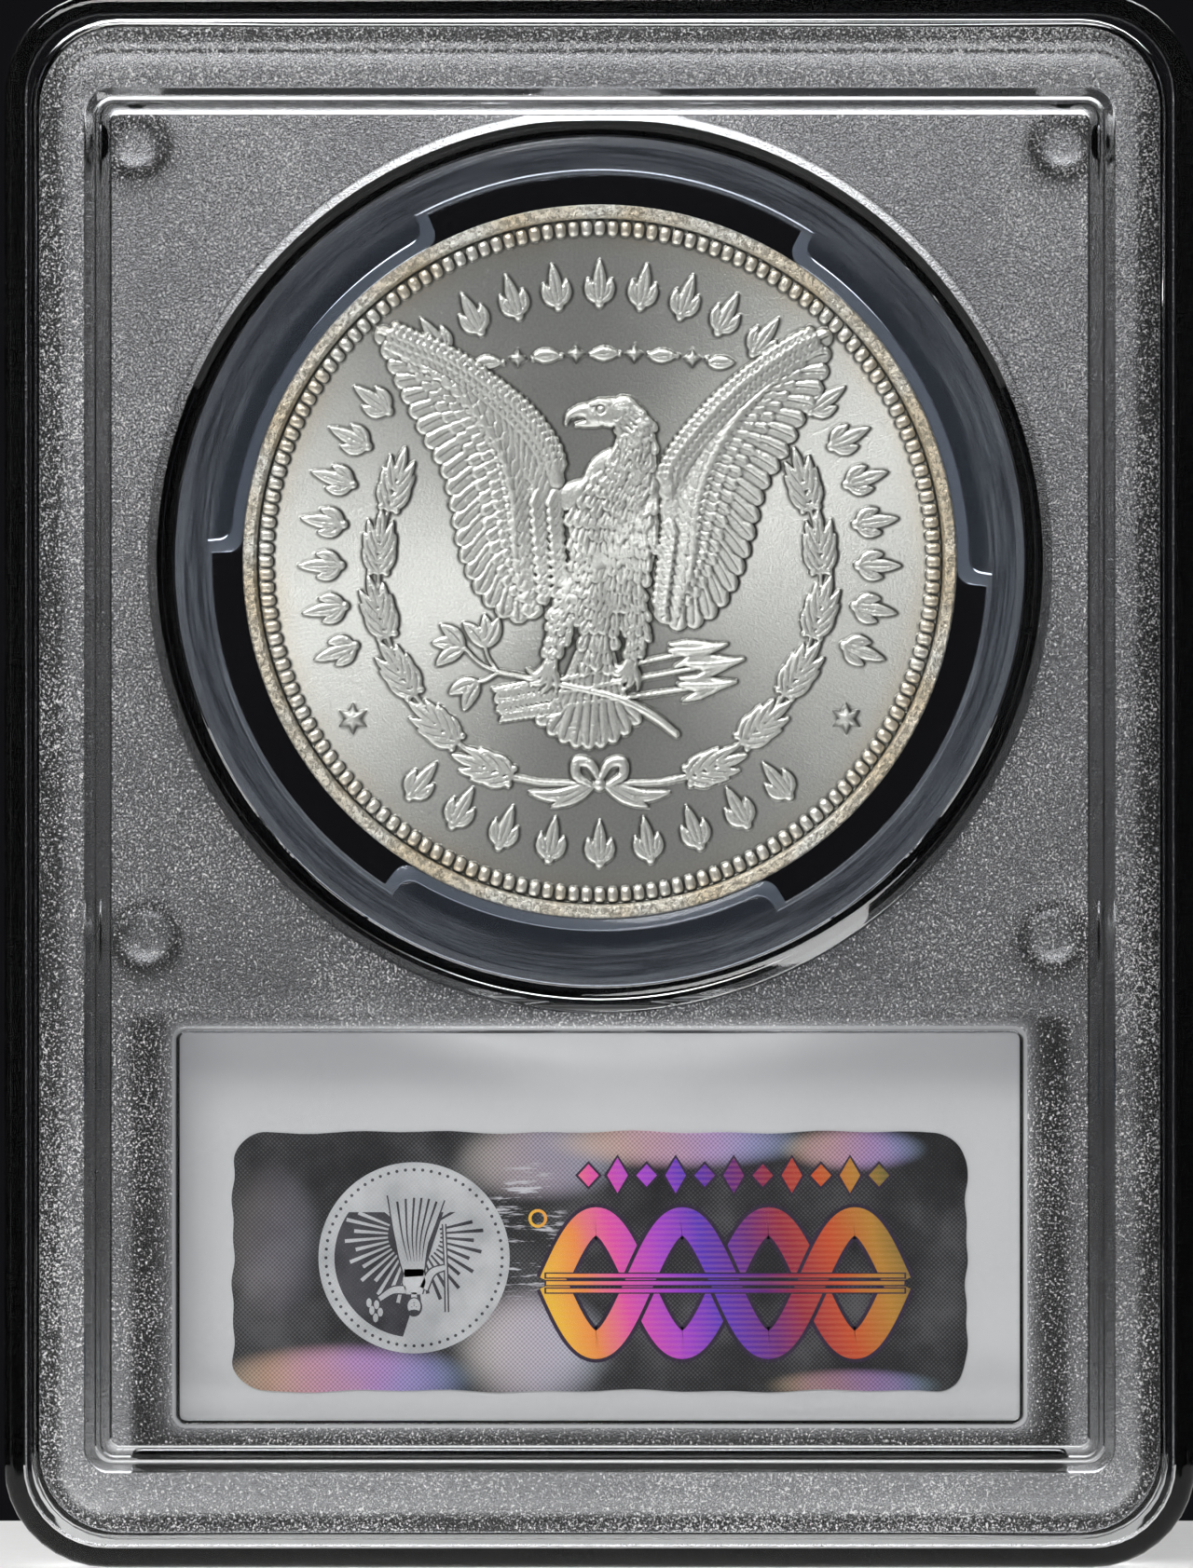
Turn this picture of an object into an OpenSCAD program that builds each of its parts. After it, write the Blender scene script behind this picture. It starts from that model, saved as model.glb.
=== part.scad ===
// Graded coin slab: two clear moulded shells welded round a coin in a soft ring, a label card
// and a hologram sticker. It stands on its bottom edge with the rear face towards -Y.

/* [Slab] */
// Width of the slab across the parting line
slab_w = 63.5; // [62:0.5:70]
// Height of the slab across the parting line
slab_h = 84; // [83:0.5:92]
// Radius of the slab's corners
slab_corner_r = 5.5; // [5:0.25:7]
// Thickness from the bead's crown to the front lip
slab_t = 8; // [7.8:0.1:9]
// Distance from the slab's middle up to the coin's centre
coin_rise = 11.65; // [11:0.25:13]
// Distance from the slab's middle down to the label window's centre
label_drop = 23.8; // [23.3:0.25:24.3]

/* [Rear face] */
// Width of the flange left bare round the raised rear face
flange_w = 1.9; // [1.5:0.1:2.2]
// Height of the raised rear face above the flange
face_step = 0.9; // [0.7:0.1:1]
// Height of the polished stacking bead above the rear face
bead_h = 0.5; // [0.3:0.05:0.6]
// Width of the stacking bead's crown
bead_w = 1.5; // [1:0.1:1.8]
// Width of the groove along the middle of the bead's crown
bead_groove_w = 0.4; // [0.2:0.05:0.5]
// Distance from the slab's side to the bead's outer side
bead_inset_x = 4.3; // [4:0.1:4.6]
// Distance from the slab's top or bottom to the bead's outer side
bead_inset_y = 5.1; // [4.8:0.1:5.2]

/* [Front face] */
// Height of the stacking lip round the front face
lip_h = 0.9; // [0.7:0.1:1]
// Gap all round between the lip and the rear face of the slab nested in it
nest_gap = 0.3; // [0.2:0.05:0.4]

/* [Windows] */
// Radius of the coin window's bevel where it meets the frosted face
coin_window_r = 24.1; // [24.05:0.05:24.4]
// Radius of the flat coin window inside its bevel
coin_window_floor_r = 22.85; // [22.7:0.05:23.5]
// Depth of the coin window below the frosted face
coin_window_step = 0.7; // [0.3:0.05:1]
// Width of the label window
label_window_w = 45.5; // [44:0.5:46]
// Height of the label window
label_window_h = 21.4; // [20.5:0.1:21.8]
// Depth of the label window below the frosted face
label_window_step = 0.15; // [0.1:0.05:0.3]

/* [Coin] */
// Diameter of the silver dollar
coin_d = 38.1; // [37.8:0.1:38.2]
// Thickness of the coin over its rims
coin_t = 2.4; // [2:0.1:2.6]
// Width of the coin's raised rim
rim_w = 1.0; // [0.8:0.1:1.5]
// Depth of the coin's field below its rim
rim_rise = 0.3; // [0.1:0.05:0.35]

/* [Gasket] */
// Outer radius of the soft ring
gasket_r = 22.7; // [22.5:0.05:22.7]
// Inner radius of the ring between its pads
gasket_bore_r = 20.7; // [20.2:0.1:21.2]
// Angle that each gripping pad covers
pad_angle = 62; // [40:2:80]
// Direction of the first pad's middle, from +X
pad_start = 27.5; // [0:2.5:60]
// Number of gripping pads
pad_count = 3; // [3:1:4]

/* [Label] */
// Width of the label card
card_w = 46.8; // [46.5:0.1:46.9]
// Height of the label card
card_h = 22.2; // [21.8:0.1:22.3]
// Thickness of the label card
card_t = 0.4; // [0.3:0.05:0.45]
// Width of the hologram sticker
sticker_w = 39.4; // [38:0.1:42]
// Height of the hologram sticker
sticker_h = 14.1; // [12:0.1:16]
// Thickness of the hologram sticker
sticker_t = 0.1; // [0.08:0.01:0.12]
// Distance from the card's centre down to the sticker's centre
sticker_drop = 1.9; // [0:0.1:2.5]

/* [Hidden] */
$fn = 96;

// Depths are measured from the parting plane, positive towards the rear face.
crown_z = slab_t / 2;
rear_face_z = crown_z - bead_h;
flange_z = rear_face_z - face_step;
lip_z = -slab_t / 2;
front_face_z = lip_z + lip_h;

// The chamber that the shells close over
chamber_depth = 1.4;
wall_w = 3;
corner_gap = 0.01;
cut = 0.5;

// Rear face outline, and the front recess that the next slab's rear face nests in
face_w = slab_w - 2 * flange_w;
face_h = slab_h - 2 * flange_w;
face_corner_r = slab_corner_r - 1.1;
recess_w = face_w + 2 * nest_gap;
recess_h = face_h + 2 * nest_gap;

// Stacking bead
bead_outer_w = slab_w - 2 * bead_inset_x;
bead_outer_h = slab_h - 2 * bead_inset_y;
bead_outer_r = 1.35;
bead_inner_r = 0.4;
bead_root = 0.3;
bead_groove_depth = 0.15;
bead_groove_inset = (bead_w - bead_groove_w) / 2;

// Weld joint: a tongue on the front shell in a groove in the rear shell
tongue_w = 0.8;
tongue_h = 0.8;
groove_gap = 0.1;
joint_inset = wall_w / 2;

// Locating pegs, two over the coin's shoulders and two above the label
peg_r = 1.15;
peg_h = 1.1;
socket_r = 1.25;
socket_depth = 1.2;
boss_r = 2;
peg_x = 24.7;
peg_rise = 34;
low_peg_x = 24.2;
low_peg_drop = 8.4;

// Coin chamber
coin_y = slab_h / 2 + coin_rise;
ring_wall_r = 24;
ring_bore_r = 22.8;
grip_gap = 0.03;
gasket_t = 2 * chamber_depth - 0.1;

// Label chamber
label_y = slab_h / 2 - label_drop;
pad_w = 50;
pad_h = 25;
pocket_w = 47;
pocket_h = 22.4;
pocket_depth = 0.6;
label_corner_r = 0.75;
sticker_corner_r = 1.9;

// Stands what is drawn flat up on its bottom edge, with its rear side towards -Y.
module stand() rotate([90, 0, 0]) children();

// A slab of material between two depths
module layer(from, to) translate([0, 0, from]) linear_extrude(to - from) children();

module rounded_rect(w, h, r) {
    square([w - 2 * r, h], center = true);
    square([w, h - 2 * r], center = true);
    for (x = [-1, 1], y = [-1, 1])
        translate([x * (w / 2 - r), y * (h / 2 - r)]) circle(r);
}

module slab_rect(w, h, r) translate([0, slab_h / 2]) rounded_rect(w, h, r);

module rect_frame(w, h, r, width, inner_r) difference() {
    slab_rect(w, h, r);
    slab_rect(w - 2 * width, h - 2 * width, inner_r);
}

module bead_groove() rect_frame(
    bead_outer_w - 2 * bead_groove_inset,
    bead_outer_h - 2 * bead_groove_inset,
    bead_outer_r - bead_groove_inset,
    bead_groove_w,
    bead_inner_r
);

module joint_frame(width) rect_frame(
    slab_w - 2 * joint_inset + width,
    slab_h - 2 * joint_inset + width,
    slab_corner_r - joint_inset + width / 2,
    width,
    slab_corner_r - joint_inset - width / 2
);

module coin_circle(r) translate([0, coin_y]) circle(r, $fn = 180);

module label_rect(w, h, r) translate([0, label_y]) rounded_rect(w, h, r);

module peg_circles(r) for (x = [-1, 1]) {
    translate([x * peg_x, slab_h / 2 + peg_rise]) circle(r);
    translate([x * low_peg_x, slab_h / 2 - low_peg_drop]) circle(r);
}

// What stands inside both shells: the coin ring's wall, the label's pad and the pegs' bosses.
module inner_works() {
    difference() {
        coin_circle(ring_wall_r);
        coin_circle(ring_bore_r);
    }
    label_rect(pad_w, pad_h, label_corner_r);
    peg_circles(boss_r);
}

module chamber() difference() {
    slab_rect(slab_w - 2 * wall_w, slab_h - 2 * wall_w, slab_corner_r - wall_w);
    inner_works();
}

// The space cut away in front of a face at depth z = 0: a bevelled coin window and a label window.
module windows() {
    translate([0, coin_y, -coin_window_step])
        cylinder(coin_window_step, coin_window_floor_r, coin_window_r, $fn = 180);
    layer(0, cut) coin_circle(coin_window_r);
    layer(-label_window_step, cut) label_rect(label_window_w, label_window_h, label_corner_r);
}

module rear_shell() color([0.82, 0.86, 0.9, 0.4]) stand() {
    difference() {
        union() {
            layer(0, flange_z) slab_rect(slab_w, slab_h, slab_corner_r);
            layer(flange_z, rear_face_z) slab_rect(face_w, face_h, face_corner_r);
        }
        layer(-cut, chamber_depth) chamber();
        layer(-cut, pocket_depth) label_rect(pocket_w, pocket_h, label_corner_r / 2);
        layer(-cut, tongue_h + groove_gap) joint_frame(tongue_w + 2 * groove_gap);
        layer(-cut, socket_depth) peg_circles(socket_r);
        translate([0, 0, rear_face_z]) windows();
    }
    difference() {
        layer(rear_face_z - bead_root, crown_z)
            rect_frame(bead_outer_w, bead_outer_h, bead_outer_r, bead_w, bead_inner_r);
        layer(crown_z - bead_groove_depth, crown_z + cut) bead_groove();
    }
}

module front_shell() color([0.82, 0.86, 0.9, 0.4]) stand() {
    difference() {
        layer(lip_z, 0) slab_rect(slab_w, slab_h, slab_corner_r);
        layer(lip_z - cut, front_face_z) slab_rect(recess_w, recess_h, face_corner_r + nest_gap);
        layer(-chamber_depth, cut) chamber();
        translate([0, 0, front_face_z]) mirror([0, 0, 1]) windows();
    }
    layer(-corner_gap, tongue_h) joint_frame(tongue_w);
    layer(-corner_gap, peg_h) peg_circles(peg_r);
}

// One pad, a slice of the ring's inner band with its middle on +X
module gripping_pad() difference() {
    circle(gasket_bore_r + corner_gap, $fn = 180);
    circle(coin_d / 2 + grip_gap, $fn = 180);
    for (end = [0, 1]) mirror([0, end]) rotate(pad_angle / 2)
        translate([-coin_d, 0]) square([2 * coin_d, coin_d]);
}

module coin_gasket() color([0.75, 0.78, 0.8, 0.5]) stand()
    layer(-gasket_t / 2, gasket_t / 2) translate([0, coin_y]) {
        difference() {
            circle(gasket_r, $fn = 180);
            circle(gasket_bore_r, $fn = 180);
        }
        for (i = [0 : pad_count - 1]) rotate(pad_start + i * 360 / pad_count) gripping_pad();
    }

module coin() color([0.78, 0.77, 0.73]) stand() difference() {
    layer(-coin_t / 2, coin_t / 2) coin_circle(coin_d / 2);
    layer(coin_t / 2 - rim_rise, coin_t / 2 + cut) coin_circle(coin_d / 2 - rim_w);
    layer(-coin_t / 2 - cut, -coin_t / 2 + rim_rise) coin_circle(coin_d / 2 - rim_w);
}

module label_card() color([0.85, 0.86, 0.87]) stand()
    layer(0, card_t) label_rect(card_w, card_h, label_corner_r / 2);

module hologram_sticker() color([0.35, 0.36, 0.4]) stand()
    layer(card_t, card_t + sticker_t) translate([0, -sticker_drop])
        label_rect(sticker_w, sticker_h, sticker_corner_r);

rear_shell();
front_shell();
coin_gasket();
coin();
label_card();
hologram_sticker();
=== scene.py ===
import math

import bmesh
import bpy
import numpy as np
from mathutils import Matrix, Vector
from mathutils.geometry import delaunay_2d_cdt


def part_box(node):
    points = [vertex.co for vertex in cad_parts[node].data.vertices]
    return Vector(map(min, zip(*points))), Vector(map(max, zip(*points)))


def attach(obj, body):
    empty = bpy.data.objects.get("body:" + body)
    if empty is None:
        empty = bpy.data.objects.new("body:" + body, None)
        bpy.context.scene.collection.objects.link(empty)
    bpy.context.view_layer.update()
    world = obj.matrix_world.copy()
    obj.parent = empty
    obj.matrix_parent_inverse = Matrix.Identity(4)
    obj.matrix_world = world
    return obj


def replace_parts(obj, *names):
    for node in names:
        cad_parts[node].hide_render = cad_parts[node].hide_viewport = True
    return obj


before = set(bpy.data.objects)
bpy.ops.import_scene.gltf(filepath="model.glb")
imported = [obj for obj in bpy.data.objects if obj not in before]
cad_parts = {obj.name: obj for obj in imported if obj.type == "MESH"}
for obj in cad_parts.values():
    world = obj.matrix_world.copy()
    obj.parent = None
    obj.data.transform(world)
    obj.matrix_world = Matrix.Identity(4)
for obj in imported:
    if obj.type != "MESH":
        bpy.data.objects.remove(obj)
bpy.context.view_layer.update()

# Sizes are in millimetres in the slab's drawing plane: across, up, and depth towards the rear
# face, measured from the parting plane. place() turns them into metres in the shared frame.
MM = 0.001


def box_mm(node):
    """The low and high corner of a CAD node as (across, up, depth) in millimetres."""
    low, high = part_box(node)
    return (
        np.array([low.x, low.z, -high.y]) / MM,
        np.array([high.x, high.z, -low.y]) / MM,
    )


def place(across, up, depth):
    return (across * MM, -depth * MM, up * MM)


# ---- Driving dimensions, from the frame ----------------------------------------------------------

rear_low, rear_high = box_mm("rear_shell")
front_low, _ = box_mm("front_shell")
coin_low, coin_high = box_mm("coin")
gasket_low, gasket_high = box_mm("coin_gasket")
card_low, card_high = box_mm("label_card")
sticker_low, sticker_high = box_mm("hologram_sticker")

SLAB_W = rear_high[0] - rear_low[0]
SLAB_H = rear_high[1] - rear_low[1]
SLAB_MID = SLAB_H / 2
CROWN = rear_high[2]
LIP = front_low[2]
COIN_UP = (coin_low[1] + coin_high[1]) / 2
COIN_R = (coin_high[0] - coin_low[0]) / 2
COIN_HALF_T = coin_high[2]
GASKET_R = (gasket_high[0] - gasket_low[0]) / 2
GASKET_HALF_T = gasket_high[2]
CARD_W = card_high[0] - card_low[0]
CARD_H = card_high[1] - card_low[1]
LABEL_UP = (card_low[1] + card_high[1]) / 2
STICKER_W = sticker_high[0] - sticker_low[0]
STICKER_H = sticker_high[1] - sticker_low[1]
STICKER_UP = (sticker_low[1] + sticker_high[1]) / 2

# ---- Shell details -------------------------------------------------------------------------------

CORNER_R = 5.5
REAR_FACE = CROWN - 0.5
FLANGE = REAR_FACE - 0.9
FRONT_FACE = LIP + 0.9
CHAMBER = 1.4
WALL_W = 3.0
BEAD_INSET = (4.3, 5.1)
BEAD_W = 1.5
WINDOW_R = 24.1
WINDOW_FLOOR_R = 22.85
WINDOW_STEP = 0.7
RING_WALL_R = 24.0
RING_BORE_R = 22.8
LABEL_WINDOW = (45.5, 21.4)
LABEL_PAD = (50.0, 25.0)
LABEL_POCKET = (47.0, 22.4)
POCKET_DEPTH = 0.6
PEGS = [(24.7, SLAB_MID + 34.0), (24.2, SLAB_MID - 8.4)]
PEG_R = 1.15
SOCKET_R = 1.25
BOSS_R = 2.0

POLISHED, FROSTED, FROSTED_RIM, BEAD = 0, 1, 2, 3


# ---- Outlines: closed loops of points, counter-clockwise -----------------------------------------


def rect_loop(w, h, r, mid=(0.0, SLAB_MID), corner=9, side=6):
    """A rounded rectangle whose loops match point for point, whatever its size."""
    points = []
    turns = [(1, -1, -90), (1, 1, 0), (-1, 1, 90), (-1, -1, 180)]
    for i, (sx, sy, start) in enumerate(turns):
        cx = sx * (w / 2 - r)
        cy = sy * (h / 2 - r)
        arc = [
            (cx + r * math.cos(a), cy + r * math.sin(a))
            for a in np.radians(np.linspace(start, start + 90, corner + 1))
        ]
        nx, ny, next_start = turns[(i + 1) % 4]
        end = math.radians(next_start)
        to = (
            nx * (w / 2 - r) + r * math.cos(end),
            ny * (h / 2 - r) + r * math.sin(end),
        )
        points += arc
        points += [
            tuple(np.add(arc[-1], np.subtract(to, arc[-1]) * k / side))
            for k in range(1, side)
        ]
    return [(mid[0] + x, mid[1] + y) for x, y in points]


def circle_loop(r, mid=(0.0, COIN_UP), n=192):
    return [
        (mid[0] + r * math.cos(a), mid[1] + r * math.sin(a))
        for a in np.arange(n) * 2 * math.pi / n
    ]


def slab_loop(inset, r=None, inset_up=None):
    """The slab's outline drawn in by inset on every side."""
    up = inset if inset_up is None else inset_up
    radius = max(CORNER_R - inset, 0.2) if r is None else r
    return rect_loop(SLAB_W - 2 * inset, SLAB_H - 2 * up, radius)


def label_loop(size, grow=0.0, r=0.75):
    return rect_loop(
        size[0] + 2 * grow, size[1] + 2 * grow, max(r + grow, 0.1), (0.0, LABEL_UP)
    )


def pad_loop(grow):
    """The label pad's outline, cut off just under the coin ring's wall."""
    top = COIN_UP - RING_WALL_R - 0.06 + grow
    return [(x, min(up, top)) for x, up in label_loop(LABEL_PAD, grow)]


def inside(point, loop):
    """True if a point lies inside a closed loop."""
    x, y = point
    odd = False
    for (ax, ay), (bx, by) in zip(loop, loop[1:] + loop[:1]):
        if (ay > y) != (by > y) and x < (bx - ax) * (y - ay) / (by - ay) + ax:
            odd = not odd
    return odd


# ---- Mesh building -------------------------------------------------------------------------------


class Solid:
    """A closed mesh put together from lofted loops and flat fills that share their points."""

    def __init__(self):
        self.bm = bmesh.new()

    def loop(self, points, depth):
        return [self.bm.verts.new(place(x, y, depth)) for x, y in points]

    def band(self, a, b, finish):
        """Quads between two loops with the same number of points."""
        n = len(a)
        for i in range(n):
            j = (i + 1) % n
            self.bm.faces.new((a[i], a[j], b[j], b[i])).material_index = finish

    def loft(self, start, steps):
        """Goes on from the loop start through (points, depth, finish) steps. Returns the last loop."""
        last = start
        for points, depth, finish in steps:
            new = self.loop(points, depth)
            self.band(last, new, finish)
            last = new
        return last

    def fill(self, outer, holes, finish):
        """A flat face between an outer loop and its holes."""
        loops = [outer] + holes
        verts = [v for loop in loops for v in loop]
        flat = [(v.co.x / MM, v.co.z / MM) for v in verts]
        edges, start = [], 0
        for loop in loops:
            n = len(loop)
            edges += [(start + i, start + (i + 1) % n) for i in range(n)]
            start += n
        outlines = [[(v.co.x / MM, v.co.z / MM) for v in loop] for loop in loops]
        result = delaunay_2d_cdt([Vector(p) for p in flat], edges, [], 1, 1e-6)
        points, faces, origins = result[0], result[2], result[3]
        for face in faces:
            middle = sum((points[i] for i in face), Vector((0.0, 0.0))) / len(face)
            if any(inside(middle, hole) for hole in outlines[1:]):
                continue
            corners = [verts[origins[i][0]] for i in face]
            self.bm.faces.new(corners).material_index = finish

    def finish(self, name, materials, body="root", smooth_angle=38):
        bmesh.ops.recalc_face_normals(self.bm, faces=self.bm.faces)
        mesh = bpy.data.meshes.new(name)
        self.bm.to_mesh(mesh)
        self.bm.free()
        return make_object(name, mesh, materials, smooth_angle, body)


def make_object(name, mesh, materials, smooth_angle=38, body="root"):
    for material in materials:
        mesh.materials.append(material)
    mesh.shade_smooth()
    mesh.set_sharp_from_angle(angle=math.radians(smooth_angle))
    obj = bpy.data.objects.new(name, mesh)
    bpy.context.scene.collection.objects.link(obj)
    weighted = obj.modifiers.new("Even_shading", "WEIGHTED_NORMAL")
    weighted.keep_sharp = True
    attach(obj, body)
    return obj


def fillet(inset, depth, r, turn, steps=4):
    """(inset, depth) pairs round a quarter circle that ends flat. turn is (inset sign, depth sign)."""
    return [
        (
            inset + turn[0] * r * (1 - math.cos(a)),
            depth + turn[1] * r * math.sin(a),
        )
        for a in np.linspace(0, math.pi / 2, steps + 1)[1:]
    ]


# ---- Node materials ------------------------------------------------------------------------------


class Nodes:
    """A short way to write a material's node tree."""

    def __init__(self, name):
        self.material = bpy.data.materials.new(name)
        self.material.use_nodes = True
        self.tree = self.material.node_tree
        self.tree.nodes.clear()
        self.out = self.tree.nodes.new("ShaderNodeOutputMaterial")
        self.place = self.tree.nodes.new("ShaderNodeTexCoord").outputs["Object"]

    def node(self, kind, inputs=None, out=0, **settings):
        made = self.tree.nodes.new("ShaderNode" + kind)
        for key, value in settings.items():
            setattr(made, key, value)
        for key, value in (inputs or {}).items():
            self.plug(made.inputs[key], value)
        return made.outputs[out]

    def plug(self, socket, value):
        if isinstance(value, bpy.types.NodeSocket):
            self.tree.links.new(value, socket)
        elif isinstance(value, tuple) and len(value) == 3 and socket.type == "RGBA":
            socket.default_value = (*value, 1.0)
        else:
            socket.default_value = value

    def math(self, operation, a, b=0.0, c=0.0):
        return self.node("Math", {0: a, 1: b, 2: c}, operation=operation)

    def times(self, a, b):
        return self.math("MULTIPLY", a, b)

    def plus(self, a, b):
        return self.math("ADD", a, b)

    def minus(self, a, b):
        return self.math("SUBTRACT", a, b)

    def over(self, a, b):
        return self.math("DIVIDE", a, b)

    def xyz(self):
        return (self.node("SeparateXYZ", {"Vector": self.place}, out) for out in range(3))

    def stretched(self, turn, scale):
        """The place turned about the slab's depth axis and scaled, for streaks."""
        return self.node("Mapping", {"Vector": self.place, "Rotation": (0.0, turn, 0.0), "Scale": scale})

    def principled(self, **inputs):
        """base_color goes to the input "Base Color", and so on."""
        names = {key: "IOR" if key == "ior" else key.replace("_", " ").title() for key in inputs}
        return self.node("BsdfPrincipled", {names[key]: value for key, value in inputs.items()})

    def noise(self, scale, detail=2.0, rough=0.5, vector=None, twist=0.0):
        """Noise whose features are about scale millimetres across."""
        return self.node(
            "TexNoise",
            {
                "Vector": vector or self.place,
                "Scale": 1.0 / (scale * MM),
                "Detail": detail,
                "Roughness": rough,
                "Distortion": twist,
            },
        )

    def span(self, value, low, high, to_low=0.0, to_high=1.0, smooth=False):
        return self.node(
            "MapRange",
            {"Value": value, 1: low, 2: high, 3: to_low, 4: to_high},
            interpolation_type="SMOOTHSTEP" if smooth else "LINEAR",
        )

    def blend(self, share, a, b, kind="MIX"):
        made = self.tree.nodes.new("ShaderNodeMix")
        made.data_type = "RGBA"
        made.blend_type = kind
        for socket, value in zip((made.inputs[0], made.inputs[6], made.inputs[7]), (share, a, b)):
            self.plug(socket, value)
        return made.outputs[2]

    def ramp(self, value, stops, interpolation="LINEAR"):
        """A colour ramp through (position, colour) stops."""
        made = self.tree.nodes.new("ShaderNodeValToRGB")
        made.color_ramp.interpolation = interpolation
        ramp = made.color_ramp.elements
        while len(ramp) < len(stops):
            ramp.new(1.0)
        for element, (position, colour) in zip(ramp, stops):
            element.position = position
            element.color = (*colour, 1.0)
        self.plug(made.inputs[0], value)
        return made.outputs[0]

    def bump(self, height, strength, distance, under=None):
        """distance is in millimetres."""
        inputs = {"Height": height, "Strength": strength, "Distance": distance * MM}
        if under is not None:
            inputs["Normal"] = under
        return self.node("Bump", inputs)

    def surface(self, shader):
        self.tree.links.new(shader, self.out.inputs["Surface"])
        return self.material


def clear_to_lamps(m, shader, passed):
    """Lets lamps shine through a clear piece, so that what it holds is lit."""
    through = m.node("BsdfTransparent", {"Color": passed})
    lamp = m.tree.nodes.new("ShaderNodeLightPath").outputs["Is Shadow Ray"]
    return m.node("MixShader", {0: lamp, 1: shader, 2: through})


def polished_plastic(name, tint, roughness=0.03):
    m = Nodes(name)
    waves = m.noise(2.2, 2.0)
    glass = m.principled(
        base_color=tint, transmission_weight=1.0, ior=1.49, roughness=roughness,
        normal=m.bump(waves, 0.25, 0.02),
    )
    return m.surface(clear_to_lamps(m, glass, (0.95, 0.95, 0.95)))


def frosted_plastic(name, grain=0.13, cover=0.2, metallic=0.6):
    """Spark-eroded mould texture: pale glinting grains between dark clear pits."""
    m = Nodes(name)
    worms = m.noise(grain, 3.0, 0.65, twist=0.4)
    patches = m.noise(6.0, 3.0)
    glint = m.noise(grain * 0.7, 1.0)
    edge = m.plus(worms, m.times(m.minus(patches, 0.5), 0.16))
    outside = m.minus(1.0, m.tree.nodes.new("ShaderNodeNewGeometry").outputs["Backfacing"])
    share = m.times(m.span(edge, 0.61 - 0.2 * cover, 0.64 - 0.2 * cover), outside)
    height = m.bump(worms, 1.0, 0.08)
    pale = m.principled(
        base_color=m.ramp(glint, [(0.38, (0.3, 0.3, 0.32)), (0.56, (1.0, 1.0, 1.0))]),
        metallic=metallic, roughness=0.42, normal=height,
    )
    glass = m.principled(
        base_color=(0.80, 0.81, 0.84), transmission_weight=1.0, ior=1.49, roughness=0.25,
        normal=height,
    )
    mixed = m.node("MixShader", {0: share, 1: glass, 2: pale})
    return m.surface(clear_to_lamps(m, mixed, (0.12, 0.12, 0.13)))


# ---- Shells --------------------------------------------------------------------------------------


def inner_side(solid, parting, ceiling, groove, pocket):
    """The inside of a shell, from its loop on the parting plane: joint, chamber, coin ring, label pad."""
    across = joint_steps(groove)
    edge = solid.loft(parting, [(slab_loop(i), d, POLISHED) for i, d in across])
    sign = 1 if ceiling > 0 else -1
    wall = solid.loft(
        edge,
        [(slab_loop(WALL_W), ceiling - sign * 0.25, POLISHED), (slab_loop(WALL_W + 0.25), ceiling, POLISHED)],
    )
    ring = solid.loop(circle_loop(RING_WALL_R), ceiling)
    bore = solid.loft(
        ring,
        [
            (circle_loop(RING_WALL_R), sign * 0.05, POLISHED),
            (circle_loop(RING_WALL_R - 0.05), 0.0, POLISHED),
            (circle_loop(RING_BORE_R + 0.1), 0.0, POLISHED),
            (circle_loop(RING_BORE_R), sign * 0.1, POLISHED),
            (circle_loop(RING_BORE_R), ceiling - sign * 0.15, POLISHED),
            (circle_loop(RING_BORE_R - 0.15), ceiling, POLISHED),
        ],
    )
    solid.fill(bore, [], POLISHED)
    pad = solid.loop(pad_loop(0.0), ceiling)
    steps = [(pad_loop(0.0), 0.05 * sign, POLISHED), (pad_loop(-0.05), 0.0, POLISHED)]
    if pocket:
        steps += [
            (label_loop(LABEL_POCKET, 0.05), 0.0, POLISHED),
            (label_loop(LABEL_POCKET), 0.05, POLISHED),
            (label_loop(LABEL_POCKET), POCKET_DEPTH, POLISHED),
        ]
    solid.fill(solid.loft(pad, steps), [], POLISHED)
    bosses = []
    for x, up in PEGS:
        for side in (-1, 1):
            mid = (side * x, up)
            boss = solid.loop(circle_loop(BOSS_R, mid, 40), ceiling)
            r, end = (SOCKET_R, 1.2) if pocket else (PEG_R, 1.1)
            steps = [(BOSS_R, 0.0), (r, 0.0), (r, end - 0.2), (r - 0.2, end)]
            tip = solid.loft(boss, [(circle_loop(at, mid, 40), depth, POLISHED) for at, depth in steps])
            solid.fill(tip, [], POLISHED)
            bosses.append(boss)
    solid.fill(wall, [ring, pad] + bosses, POLISHED)


def joint_steps(groove):
    """(inset, depth) across the wall's joint face: a groove, or the tongue that fills it."""
    mid = WALL_W / 2
    half, tall = (0.5, 0.9) if groove else (0.4, 0.8)
    return [
        (mid - half, 0.0),
        (mid - half + 0.03, tall - 0.1),
        (mid - half + 0.13, tall),
        (mid + half - 0.13, tall),
        (mid + half - 0.03, tall - 0.1),
        (mid + half, 0.0),
        (WALL_W - 0.05, 0.0),
    ]


def window_loop(r):
    """The coin window's outline, cut flat where it meets the stacking bead."""
    top = SLAB_H - BEAD_INSET[1] - BEAD_W - 0.04
    return [(x, min(up, top)) for x, up in circle_loop(r)]


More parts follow.
